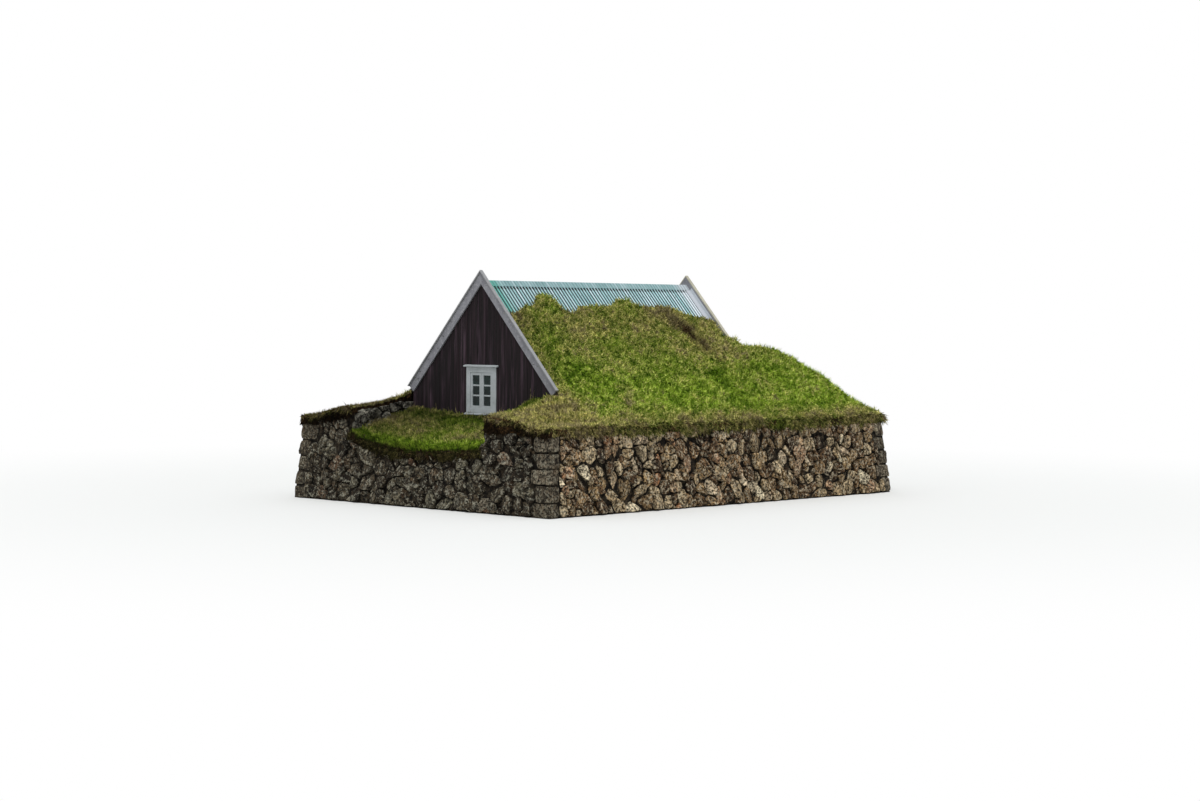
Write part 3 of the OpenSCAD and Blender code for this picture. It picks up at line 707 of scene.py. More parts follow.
def copied(node: str) -> Object:
    """Copies a CAD node into a new object with its loose triangles merged.

    Args:
        node: The CAD node.

    Returns:
        The copy.
    """
    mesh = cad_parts[node].data.copy()
    sheet = bmesh.new()
    sheet.from_mesh(mesh)
    bmesh.ops.remove_doubles(sheet, verts=sheet.verts, dist=1e-5)
    bmesh.ops.dissolve_limit(sheet, angle_limit=1e-4, verts=sheet.verts, edges=sheet.edges)
    sheet.to_mesh(mesh)
    sheet.free()
    mesh.materials.clear()
    return new_object(node + "_copy", mesh)


def baked(source: Object, name: str) -> Object:
    """Turns an object with live modifiers into a plain one.

    Args:
        source: The object, which is removed.
        name: The name of the result.

    Returns:
        The plain object.
    """
    graph = bpy.context.evaluated_depsgraph_get()
    live = source.evaluated_get(graph)
    mesh = bpy.data.meshes.new_from_object(live, preserve_all_data_layers=True, depsgraph=graph)
    mesh.name = name
    bpy.data.objects.remove(source)
    return new_object(name, mesh)


def eased(source: Object, name: str, radius: float) -> Object:
    """Takes back the sharp edges of an object.

    Args:
        source: The object, which is removed.
        name: The name of the result.
        radius: How far the edges are taken back.

    Returns:
        The new piece.
    """
    bevel = source.modifiers.new("ease", "BEVEL")
    bevel.width = radius
    bevel.segments = 2
    bevel.limit_method = "ANGLE"
    bevel.angle_limit = math.radians(35)
    return baked(source, name)


def clipped(poly: Sequence[Point], normal: Point, limit: float) -> list[Point]:
    """Keeps the part of a flat outline where its product with a normal is at most a limit.

    Args:
        poly: Corners in order.
        normal: The way out.
        limit: Where the cut stands along it.

    Returns:
        The corners that are left.
    """
    kept: list[Point] = []
    ends = [p[0] * normal[0] + p[1] * normal[1] - limit for p in poly]
    for i, (a, end) in enumerate(zip(poly, ends)):
        b, other = poly[i - 1], ends[i - 1]
        if (end <= 0) != (other <= 0):
            share = other / (other - end)
            kept.append((b[0] + (a[0] - b[0]) * share, b[1] + (a[1] - b[1]) * share))
        if end <= 0:
            kept.append(a)
    return kept


def area(poly: Sequence[Point]) -> float:
    """Gives the area of a flat outline."""
    return 0.5 * sum(poly[i - 1][0] * p[1] - p[0] * poly[i - 1][1] for i, p in enumerate(poly))


def angular(poly: Sequence[Point], closest: float, corners: int) -> list[Point]:
    """Drops corners that crowd each other, then the flattest ones.

    Args:
        poly: Corners in order.
        closest: The least way between two corners.
        corners: How many may stay.

    Returns:
        The corners that are left.
    """
    kept: list[Point] = []
    for p in poly:
        if not kept or math.dist(p, kept[-1]) > closest:
            kept.append(p)
    while len(kept) > 2 and math.dist(kept[0], kept[-1]) <= closest:
        kept.pop()
    while len(kept) > corners:
        sizes = [area((kept[i - 1], p, kept[(i + 1) % len(kept)])) for i, p in enumerate(kept)]
        kept.pop(sizes.index(min(sizes)))
    return kept


def show(piece: Object, paint: Paint, slot: str, *stands_for: str) -> None:
    """Finishes a new piece and lets it ride.

    Args:
        piece: The piece.
        paint: Its finish.
        slot: Not used.
        *stands_for: CAD nodes that it replaces.
    """
    piece.data.materials.clear()
    piece.data.materials.append(paint.material())
    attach(piece, BODY)
    if stands_for:
        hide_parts(*stands_for)
    piece.data.calc_loop_triangles()
    LOG.info("%-24s %7d triangles", piece.name, len(piece.data.loop_triangles))


def show_eased(paint: Paint, slot: str, radius: float, *nodes: str, **numbers: float) -> None:
    """Shows copies of CAD nodes with eased edges in their place.

    Args:
        paint: Their finish.
        slot: Not used.
        radius: How far the edges are taken back.
        *nodes: The CAD nodes.
        **numbers: Numbers that their points carry.
    """
    for node in nodes:
        piece = eased(copied(node), node + "_eased", radius)
        carry(piece, **numbers)
        show(piece, paint, slot, node)


def dress(paint: Paint, *nodes: str) -> None:
    """Gives CAD nodes a finish.

    Args:
        paint: The finish.
        *nodes: The CAD nodes.
    """
    for name in nodes:
        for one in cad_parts[name].material_slots:
            one.material = paint.material()
        LOG.info("%-24s dressed with %s", name, paint.name.lower())


# Geometry trees

class Grower(Tree):
    """A geometry tree with named inputs."""

    KINDS = {float: "NodeSocketFloat", int: "NodeSocketInt", str: "NodeSocketString"}

    def __init__(self, name: str, **inputs: object) -> None:
        """Opens a tree.

        Args:
            name: Its name.
            **inputs: Its inputs and their plain values.
        """
        super().__init__(bpy.data.node_groups.new(name, "GeometryNodeTree"))
        sides = self.tree.interface
        sides.new_socket("Geometry", in_out="INPUT", socket_type="NodeSocketGeometry")
        sides.new_socket("Geometry", in_out="OUTPUT", socket_type="NodeSocketGeometry")
        for key, value in inputs.items():
            made = sides.new_socket(key, in_out="INPUT", socket_type=self.KINDS[type(value)])
            made.default_value = value
        sides.new_socket("finish", in_out="INPUT", socket_type="NodeSocketMaterial")
        self.given = self.node("NodeGroupInput").outputs
        self.source = self.given["Geometry"]
        self.place = self.node("GeometryNodeInputPosition").outputs[0]
        self.facing = self.node("GeometryNodeInputNormal").outputs[0]

    def field(self, key: str) -> Field:
        """Gives a named input."""
        return Field(self, self.given[key])

    def stored(self, mesh: object, key: str, value: object, kind: str = NUMBER) -> Field:
        """Writes a number or a vector on every point."""
        settings = {"data_type": kind, "domain": "POINT"}
        return self.out("GeometryNodeStoreNamedAttribute", settings, Geometry=mesh, Name=key, Value=value)

    def stored_by_face(self, mesh: object, key: str, value: object, kind: str = NUMBER) -> Field:
        """Writes on every point what a value is on its face."""
        settings = {"domain": "FACE", "data_type": kind}
        return self.stored(mesh, key, self.out("GeometryNodeFieldOnDomain", settings, Value=value), kind)

    def read(self, key: object, kind: str = NUMBER) -> Field:
        """Reads what the points carry."""
        return self.out("GeometryNodeInputNamedAttribute", {"data_type": kind}, Name=key)

    def chance(self, low: float, high: float, draw: int) -> Field:
        """Gives a random number for each element; each draw is another set."""
        inputs = {2: low, 3: high, "Seed": SEED + draw}
        return Field(self, self.node("FunctionNodeRandomValue", {"data_type": NUMBER}, inputs).outputs[1])

    def chance_way(self, draw: int) -> Field:
        """Gives a random vector from -1 to 1 on each axis for each element."""
        inputs = {"Min": (-1.0, -1.0, -1.0), "Max": (1.0, 1.0, 1.0), "Seed": SEED + draw}
        return self.out("FunctionNodeRandomValue", {"data_type": VECTOR}, **inputs)

    def moved(self, mesh: object, way: object, size: object) -> Field:
        """Moves every point some way times a size."""
        return self.out("GeometryNodeSetPosition", Geometry=mesh, Offset=self.scaled(way, size))

    def pushed(self, mesh: object, depth: object, faces: object = True) -> Sequence[Socket]:
        """Pushes faces out one by one and gives the mesh and which faces are their tops."""
        inputs = {"Mesh": mesh, "Selection": faces, "Offset Scale": depth, "Individual": True}
        return self.node("GeometryNodeExtrudeMesh", {}, inputs).outputs

    def shut(self, shell: object, flat: object, near: float) -> Field:
        """Closes a shell and merges its points.

        Args:
            shell: What was pushed out.
            flat: The faces it was pushed from.
            near: How near two points are that become one.

        Returns:
            The closed mesh.
        """
        base = self.out("GeometryNodeFlipFaces", Mesh=flat)
        whole = self.out("GeometryNodeJoinGeometry", Geometry=[shell, base])
        return self.out("GeometryNodeMergeByDistance", Geometry=whole, Distance=near)

    def planted(self, points: object, copy: object, way: object, size: object = (1.0, 1.0, 1.0)) -> Field:
        """Sets a copy on every point.

        Args:
            points: The points.
            copy: What is copied.
            way: Where its Z axis points.
            size: Its scale.

        Returns:
            The copies.
        """
        turn = self.out("FunctionNodeAlignRotationToVector", {"axis": "Z"}, Vector=way)
        inputs = {"Points": points, "Instance": copy, "Rotation": turn, "Scale": size}
        return self.out("GeometryNodeInstanceOnPoints", **inputs)

    def ended(self, mesh: object, smooth: bool = False) -> "Grower":
        """Ends the tree with real geometry and its finish.

        Args:
            mesh: What it has grown.
            smooth: Whether faces blend into each other.

        Returns:
            The tree.
        """
        real = self.out("GeometryNodeRealizeInstances", Geometry=mesh)
        shaded = self.out("GeometryNodeSetShadeSmooth", Geometry=real, Shade_Smooth=smooth)
        finished = self.out("GeometryNodeSetMaterial", Geometry=shaded, Material=self.given["finish"])
        self.node("NodeGroupOutput", {}, {0: finished})
        return self

    def grow(self, source: Object, name: str, paint: Paint, **values: object) -> Object:
        """Runs the tree on an object and keeps the result as a plain mesh.

        Args:
            source: What it grows from; it is removed.
            name: The name of the result.
            paint: Its finish.
            **values: Inputs of the tree.

        Returns:
            The plain object.
        """
        modifier = source.modifiers.new(self.tree.name, "NODES")
        modifier.node_group = self.tree
        values["finish"] = paint.material()
        for item in self.tree.interface.items_tree:
            if item.in_out == "INPUT" and item.name in values:
                modifier[item.identifier] = values[item.name]
        return baked(source, name)


def rubble_tree() -> Grower:
    """Builds the tree that turns flat outlines on a wall into rounded, closed stones.

    Returns:
        The tree.
    """
    g = Grower("rubble", joint=0.008, depth=0.052, rough=0.02, slant=0.42)
    mesh = g.stored_by_face(g.source, "centre", g.place, VECTOR)
    mesh = g.stored_by_face(mesh, "out", g.facing, VECTOR)
    mesh = g.stored_by_face(mesh, "tone", g.chance(0, 1, 0))
    mesh = g.stored_by_face(mesh, "way", g.chance_way(1), VECTOR)
    size = g.math("SQRT", g.out("GeometryNodeInputMeshFaceArea"))
    share = 1 - g.field("joint") * g.chance(0.2, 1.6, 10) / size
    flat = g.out("GeometryNodeScaleElements", {"domain": "FACE"}, Geometry=mesh, Scale=share)
    side = g.pushed(flat, g.field("depth") * g.chance(0.75, 1.3, 2))
    head = g.pushed(side[0], g.field("depth") * 0.25, side[1])
    inputs = {"Geometry": head[0], "Selection": head[1], "Scale": g.chance(0.8, 0.99, 8)}
    crown = g.out("GeometryNodeScaleElements", {"domain": "FACE"}, **inputs)
    closed = g.shut(crown, flat, 0.0005)
    mesh = g.out("GeometryNodeSubdivisionSurface", Mesh=closed, Level=1, Edge_Crease=0.45)
    off = g.vector("SUBTRACT", g.place, g.read("centre", VECTOR))
    out = g.read("out", VECTOR)
    relief = g.vector("DOT_PRODUCT", off, out) / (g.field("depth") * 1.2)
    # The relief also sets the painted shade on the stones' sides.
    mesh = g.stored(mesh, "relief", relief)
    lean = g.vector("DOT_PRODUCT", off, g.read("way", VECTOR)) * g.field("slant") * (relief > 0.5)
    mesh = g.moved(mesh, out, lean)
    shift = g.scaled(g.shake(17.0), g.field("rough") * 2.0)
    return g.ended(g.moved(mesh, shift, relief.band(0.0, 0.6, 0.25, 1.0)))


def quoin_tree() -> Grower:
    """Builds the tree that wears plain blocks into corner stones.

    Returns:
        The tree.
    """
    g = Grower("quoins", rough=0.024)
    mesh = g.out("GeometryNodeSubdivisionSurface", Mesh=g.source, Level=2, Edge_Crease=0.72)
    # A relief of 1 keeps the painted side shade off the corner stones.
    mesh = g.stored(mesh, "relief", 1.0)
    return g.ended(g.moved(mesh, g.shake(9.0, 3), g.field("rough") * 2.0))


def ground_tree() -> Grower:
    """Builds the tree that gives a plain bank its hummocks and crumbs.

    Returns:
        The tree.
    """
    g = Grower("ground", level=2, hummock=0.03, crumb=0.016, sink=0.022, roll=2)
    mesh = g.out("GeometryNodeSubdivideMesh", Mesh=g.source, Level=g.given["level"])
    edge = g.read("edge")
    inputs = {"Value": g.place, "Iterations": g.given["roll"], "Weight": edge}
    soft = g.out("GeometryNodeBlurAttribute", {"data_type": VECTOR}, **inputs)
    mesh = g.out("GeometryNodeSetPosition", Geometry=mesh, Position=soft)
    up = g.axis("Z", g.facing)
    mesh = g.stored(mesh, "open", up.band(-0.3, 0.1))
    swell = (g.noise(3.6, 2, 0.6) - 0.5) * g.field("hummock") * 2.0 - g.field("sink")
    mesh = g.moved(mesh, g.facing, swell * up.band(0.1, 0.6))
    crumb = g.scaled(g.shake(13.0, 3), g.field("crumb") * (2.0 + edge * 2.5))
    return g.ended(g.moved(mesh, crumb, g.read("open")), True)


@dataclass(frozen=True)
class Sowing:
    """One kind of blade: the mask it grows on, blades to a square metre, sizes, ways, gaps and draw."""

    mask: str = "lawn"
    density: float = 1000.0
    length: float = 0.085
    width: float = 0.0085
    normal: float = 0.6
    upward: float = 0.7
    scatter: float = 0.45
    ragged: float = 0.0
    seed: int = SEED


@cache
def blade_tree() -> Grower:
    """Builds the tree that plants closed three-sided blades where a mask of the ground says.

    Returns:
        The tree.
    """
    g = Grower("blades", **vars(Sowing()))
    full = 1 - g.noise(2.6, 3, 0.7).band(0.4, 0.6) * g.field("ragged")
    inputs = {"Mesh": g.source, "Seed": g.given["seed"],
              "Density": g.field("density") * g.read(g.given["mask"]) * full}
    spread = g.node("GeometryNodeDistributePointsOnFaces", {"distribute_method": "RANDOM"}, inputs).outputs
    sizes = {"Vertices": 3, "Radius Top": 0.0, "Radius Bottom": 1.0, "Depth": 1.0}
    blade = g.stored(g.out("GeometryNodeMeshCone", {"fill_type": "NGON"}, **sizes), "tip", g.axis("Z"))
    straw = g.noise(21.0, 2, 0.6).band(0.35, 0.65) * 0.6 + g.chance(0, 0.4, 9)
    points = g.stored(spread[0], "straw", straw)
    rise = g.out("ShaderNodeCombineXYZ", Z=g.field("upward"))
    way = g.vector("ADD", g.scaled(spread[1], g.field("normal")), rise)
    way = g.vector("ADD", way, g.scaled(g.chance_way(3), g.field("scatter")))
    clump = g.noise(6.5, 2, 0.6).band(0.3, 0.7, 0.6, 1.35)
    tall = g.field("length") * clump * full.band(0.0, 1.0, 0.5, 1.0) * g.chance(0.6, 1.25, 4)
    wide = g.field("width") * g.chance(0.7, 1.3, 5)
    return g.ended(g.planted(points, blade, way, g.out("ShaderNodeCombineXYZ", X=wide, Y=wide, Z=tall)))


def board_tree() -> Grower:
    """Builds the tree that turns flat outlines into boards of uneven thickness.

    Returns:
        The tree.
    """
    g = Grower("boards", thick=0.011, uneven=0.0035)
    flat = g.stored_by_face(g.source, "tone", g.chance(0, 1, 6))
    front = g.pushed(flat, g.field("thick") + g.field("uneven") * g.chance(-1, 1, 7))[0]
    return g.ended(g.shut(front, flat, 0.0002))


def stud_tree() -> Grower:
    """Builds the tree that sets a domed head with a washer on every point, square to its own direction.

    Returns:
        The tree.
    """
    g = Grower("studs", head=0.007, washer=0.012)
    dome = g.out("GeometryNodeMeshUVSphere", Segments=8, Rings=4, Radius=g.field("head"))
    dome = g.out("GeometryNodeTransform", Geometry=dome, Scale=(1.0, 1.0, 0.6))
    size = {"Vertices": 10, "Radius": g.field("washer"), "Depth": 0.002}
    plate = g.out("GeometryNodeMeshCylinder", {"fill_type": "NGON"}, **size)
    stud = g.out("GeometryNodeJoinGeometry", Geometry=[dome, plate])
    points = g.out("GeometryNodeMeshToPoints", Mesh=g.source)
    return g.ended(g.planted(points, stud, g.read("way", VECTOR)))


# Stone walls

@dataclass(frozen=True)
class WallFace:
    """One stretch of wall that is clad with rubble, on the right hand of the way from start to end."""

    name: str
    start: Point
    end: Point
    nodes: tuple[str, ...]
    quoins: tuple[int, int] = (-1, -1)
    past: Point = (0.0, 0.0)
    low: float = 0.012
    lift: float = 0.0
    paint: Paint = Paint.SIDE_STONE
    lean: float = 0.0
    stretch: float = 1.0
    stone: float = 0.25
    corners: tuple[int, ...] = (4, 5, 5, 6)
    joint: float = 0.008
    probe: float = 0.6
    reach: float = 0.85
    highest: float = 2.1
    rise: float = 0.02
    step: float = 0.05
    margins: Point = (0.004, 0.02)
    drops: tuple[float, ...] = (0.0, 0.03, 0.06, 0.09, 0.12)

    @cached_property
    def length(self) -> float:
        """Length of the stretch."""
        return math.dist(self.start, self.end)

    @cached_property
    def out(self) -> Point:
        """The way out of the wall, across the plan."""
        return (self.end[Y] - self.start[Y]) / self.length, (self.start[X] - self.end[X]) / self.length

    @cached_property
    def skin(self) -> BVHTree:
        """Joins the surfaces of the wall's CAD nodes.

        Returns:
            The joined surface, for probing.
        """
        points: list[Vector] = []
        faces: list[tuple[int, ...]] = []
        for name in self.nodes:
            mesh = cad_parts[name].data
            faces += [tuple(len(points) + i for i in p.vertices) for p in mesh.polygons]
            points += [v.co.copy() for v in mesh.vertices]
        return BVHTree.FromPolygons(points, faces)

    def kept_in(self, u: float, margin: float) -> float:
        """Gives u, kept a margin away from both ends."""
        return min(self.length - margin, max(margin, u))

    def spot(self, u: float, v: float, stand: float = 0.0) -> Vector:
        """Gives the point u along and v up, stand metres out from the base line."""
        axes = zip(self.start, self.end, self.out)
        return Vector((*(a + (b - a) * (u / self.length) + out * stand for a, b, out in axes), v))

    def hit(self, u: float, v: float) -> Vector | None:
        """Finds the wall's surface at a place, or None above its head."""
        return self.skin.ray_cast(self.spot(u, v, self.probe), -Vector((*self.out, 0)), self.reach)[0]

    def touch(self, u: float, v: float) -> Vector | None:
        """Finds the wall's surface, or its plane carried up a little past the head.

        Args:
            u: Place along.
            v: Place up.

        Returns:
            The place, or None far above the head.
        """
        along = self.kept_in(u, self.margins[0])
        slide = self.spot(u, 0) - self.spot(along, 0) if sum(self.past) else Vector((0, 0, 0))
        for drop in self.drops:
            found = self.hit(along, v - drop)
            if found is not None:
                return found + slide + Vector((0, 0, drop))
        return None

    def top(self, u: float) -> float:
        """Gives how high the stones go at u."""
        return self.top_at(round(u / self.step))

    @cache
    def top_at(self, steps: int) -> float:
        """Finds how high the stones go.

        Args:
            steps: How many steps along.

        Returns:
            The height.
        """
        u = self.kept_in(steps * self.step, self.margins[1])
        top = v = self.low
        while v < self.highest:
            if self.hit(u, v) is not None:
                top = v
            v += self.rise
        return top + self.lift


@dataclass
class StoneWalls:
    """Drystone cladding on every open face, with squared corner stones."""

    head: float = 1.33
    batter: float = 0.13
    passage: float = span("rear_right_wall", X)[0]
    court_end: float = -4.36
    wrap: float = 0.035
    proud: float = 0.032
    bed: float = 0.018
    course: Point = (0.19, 0.29)
    wide: tuple[Point, Point] = ((0.36, 0.46), (0.27, 0.34))
    deep: tuple[Point, Point] = ((0.24, 0.3), (0.34, 0.44))
    near_deep: float = 0.25
    # Painted shade: the stones of the front left corner take darker tones.
    shades: tuple[float, ...] = (0.35, 1.0, 1.0, 1.0)
    foot: float = 0.006
    cover: float = 0.005
    least_course: float = 0.12
    least_rise: float = 0.1
    joints: Point = (0.008, 0.004)
    beside: float = 0.006
    slack: float = 0.01
    stray: Point = (-0.006, 0.012)
    knock: float = 0.014
    widths: tuple[float, ...] = (0.55, 0.75, 0.95, 1.1, 1.4, 1.8)
    rises: Point = (0.6, 1.15)
    shifts: Point = (0.04, 0.07)
    pull: float = 0.35
    chinks: float = 0.5
    chink_shift: float = 0.03
    shares: Point = (0.15, 0.85)
    sinks: Point = (0.0, 0.02)
    closest: float = 0.02
    jag: float = 0.007
    over: float = 0.13
    cell_half: float = 0.6
    neighbours: int = 26
    least_area: float = 0.0025
    rows: dict[int, list[tuple[float, ...]]] = field(default_factory=dict)

    def faces(self) -> list[WallFace]:
        """Lists the stretches.

        Returns:
            Those round the house, then those of the forecourt and the passage.
        """
        w, l, gap, end = HOUSE.half_w, HOUSE.half_l, self.passage, self.court_end
        (left, right), front, rear = HOUSE.court, HOUSE.front, HOUSE.rear
        first, last = (self.wrap, 0.0), (0.0, self.wrap)
        return [
            WallFace("rubble_front", (-w, -l), (w, -l), ("left_wall", "front_wall", "right_wall"), (0, 1),
                     paint=Paint.FRONT_STONE, corners=(5, 5, 6), joint=0.006),
            WallFace("rubble_right", (w, -l), (w, l), ("right_wall",), (1, 2), lean=0.35, stretch=1.4,
                     stone=0.235),
            WallFace("rubble_rear_right", (w, l), (gap, l), ("right_wall", "rear_right_wall"), (2, -1), last),
            WallFace("rubble_rear_left", (-gap, l), (-w, l), ("left_wall", "rear_left_wall"), (-1, 3), first),
            WallFace("rubble_left", (-w, l), (-w, -l), ("left_wall",), (3, 0), lean=-0.3, stretch=1.2,
                     paint=Paint.FRONT_STONE),
            WallFace("rubble_court_right", (right, front), (right, end), ("right_wall",), low=0.95,
                     paint=Paint.COURT_STONE, stone=0.2),
            WallFace("rubble_court_left", (left, end), (left, front), ("left_wall",), low=1.02, lift=0.08,
                     paint=Paint.COURT_STONE, stone=0.24),
            WallFace("rubble_passage_right", (gap, l), (gap, rear), ("rear_right_wall",), past=first,
                     stone=0.24),
            WallFace("rubble_passage_left", (-gap, rear), (-gap, l), ("rear_left_wall",), past=last,
                     stone=0.24),
        ]

    def lay_quoins(self, rng: random.Random) -> Object:
        """Lays the squared stones of the four corners.

        Args:
            rng: Where sizes come from.

        Returns:
            The blocks, still plain.
        """
        points: list[Place] = []
        faces: list[tuple[int, ...]] = []
        tones: list[float] = []
        for k, (sx, sy) in enumerate(((-1, -1), (1, -1), (1, 1), (-1, 1))):
            z = self.foot
            self.rows[k] = []
            while z < self.head - self.least_course:
                turn = len(self.rows[k]) % 2
                top = min(z + rng.uniform(*self.course), self.head - self.cover)
                if self.head - top < self.least_rise:
                    top = self.head - self.cover
                wide = rng.uniform(*self.wide[turn])
                deep = self.near_deep if k == 1 else rng.uniform(*self.deep[turn])
                self.rows[k].append((z, top, wide, deep))
                out = self.proud + rng.uniform(*self.stray)
                # A corner's share dims its stones' tones: painted shade at the front left corner.
                tones += [rng.random() * self.shades[k]] * 8
                faces += [tuple(len(points) + i for i in f[::sx * sy]) for f in BOX_FACES]
                for ix, iy, iz in product((0, 1), repeat=3):
                    up = (top - self.joints[0]) if iz else z
                    lean = self.batter * (1 - up / self.head) - self.batter
                    x = HOUSE.half_w + lean + out - (0 if ix else wide)
                    y = HOUSE.half_l + lean + out - (0 if iy else deep)
                    jog = [rng.uniform(-self.knock, self.knock) for _ in range(3)]
                    points.append((sx * (x + jog[0]), sy * (y + jog[1]), max(0.002, up + jog[2])))
                z = top + self.joints[1]
        blocks = shape("quoins", points, faces)
        carry(blocks, tone=tones)
        return blocks

    def between_quoins(self, face: WallFace, v: float) -> Sequence[float]:
        """Gives where the rubble of a face starts and ends between its corner stones.

        Args:
            face: The stretch.
            v: Place up.

        Returns:
            Both places along.
        """
        ends = [-face.past[0], face.length + face.past[1]]
        lean = self.batter * min(1.0, v / self.head)
        for side, corner in enumerate(face.quoins):
            for low, high, *sizes in self.rows.get(corner, ()):
                if low <= v <= high + self.slack or (high > self.head - self.least_rise and v > high):
                    size = sizes[face.out[Y] == 0] - self.proud + lean + self.beside
                    ends[side] = face.length - size if side else size
        return ends

    def seeds(self, face: WallFace, rng: random.Random) -> list[tuple[float, float, float]]:
        """Scatters the middles of stones in uneven courses.

        Args:
            face: The stretch.
            rng: Where sizes come from.

        Returns:
            Place along, place up and weight of each.
        """
        made = []
        v = face.low
        (du, dv), off = self.shifts, self.chink_shift
        while v < face.highest:
            tall = face.stone * rng.uniform(*self.rises)
            u = -rng.uniform(0, face.stone)
            while u < face.length:
                wide = face.stone * rng.choice(self.widths)
                spot = (u + wide / 2 + rng.uniform(-du, du), v + tall / 2 + rng.uniform(-dv, dv))
                made.append((*spot, (wide / 2) ** 2 * self.pull))
                if rng.random() < self.chinks:
                    made.append((u + rng.uniform(-off, off), v + rng.uniform(-off, off), 0.0))
                u += wide
            v += tall
        return made

    def cell(self, at: np.ndarray, others: np.ndarray) -> list[Point]:
        """Cuts the cell of one stone out of a square, by the nearest of its neighbours.

        Args:
            at: Place along, place up and weight of its middle.
            others: The same of every stone.

        Returns:
            The corners.
        """
        a, b, weight = at
        half = self.cell_half
        poly = [(a - half, b - half), (a + half, b - half), (a + half, b + half), (a - half, b + half)]
        gaps = np.hypot(others[:, 0] - a, others[:, 1] - b)
        for j in np.argsort(gaps)[1:self.neighbours + 1]:
            if gaps[j] < 1e-6 or len(poly) < 3:
                continue
            way = (others[j, 0] - a, others[j, 1] - b)
            share = 0.5 + (weight - others[j, 2]) / (2 * gaps[j] * gaps[j])
            share = min(self.shares[1], max(self.shares[0], share))
            edge = (a + way[0] * share, b + way[1] * share)
            poly = clipped(poly, way, way[0] * edge[0] + way[1] * edge[1])
        return poly

    def outlines(self, face: WallFace, rng: random.Random) -> Iterable[list[Point]]:
        """Divides a face into the outlines of its stones.

        Args:
            face: The stretch.
            rng: Where sizes come from.

        Returns:
            The outline of each stone, along and up, one after the other.
        """
        places = self.seeds(face, rng)
        flat_by = 1 / face.stretch
        c, s = math.cos(face.lean), math.sin(face.lean)
        laid = np.array([[u * c + v * s, (v * c - u * s) * flat_by, w] for u, v, w in places])
        for (u, v, _), at in zip(places, laid):
            if not -self.over <= u <= face.length + self.over or v > face.top(u) + self.over:
                continue
            first, last = self.between_quoins(face, v)
            poly = [(a * c - b / flat_by * s, a * s + b / flat_by * c) for a, b in self.cell(at, laid)]
            for normal, limit in (((0, -1), -face.low), ((-1, 0), -first), ((1, 0), last)):
                poly = clipped(poly, normal, limit)
            sink = rng.uniform(*self.sinks)
            poly = [(a, min(b, face.top(a) - sink)) for a, b in poly]
            poly = angular(poly, self.closest, rng.choice(face.corners))
            jag = (-self.jag, self.jag)
            poly = [(a + rng.uniform(*jag), b + rng.uniform(*jag)) for a, b in poly]
            if len(poly) >= 3 and area(poly) > self.least_area:
                yield poly

    def clad(self, face: WallFace, rng: random.Random, tree: Grower) -> None:
        """Lays the stones of one face.

        Args:
            face: The stretch.
            rng: Where sizes come from.
            tree: What rounds them.
        """
        away = Vector((*face.out, 0))
        polys = []
        for outline in self.outlines(face, rng):
            spots = [spot for spot in (face.touch(u, v) for u, v in outline) if spot is not None]
            if len(spots) >= 3:
                polys.append([spot - away * self.bed for spot in spots])
        flat = outlined(face.name, polys, away)
        show(tree.grow(flat, face.name, face.paint, joint=face.joint), face.paint, "rubble_stone")

    def build(self) -> None:
        """Builds the corner stones and the cladding."""
        rng = random.Random(SEED)
        quoins = quoin_tree().grow(self.lay_quoins(rng), "quoins", Paint.QUOIN_STONE)
        show(quoins, Paint.QUOIN_STONE, "rubble_stone")
        tree = rubble_tree()
        for face in self.faces():
            self.clad(face, rng, tree)
        dress(Paint.CORE, "left_wall", "right_wall", "front_wall", "rear_left_wall", "rear_right_wall")


# Turf

@dataclass(frozen=True)
class Bank:
    """One mass of turf and how it is grown over."""

    node: str
    slot: str = "turf"
    density: float = 1450.0
    length: float = 0.085
    droop: float = -0.2
    hummock: float = 0.03
    sink: float = 0.022
    bare_rim: float = 0.0
    fringe: float = 0.12
    bank_soil: float = 0.95
    shade: float = 0.0
    level: int = 2
    rim_dry: float = 0.45


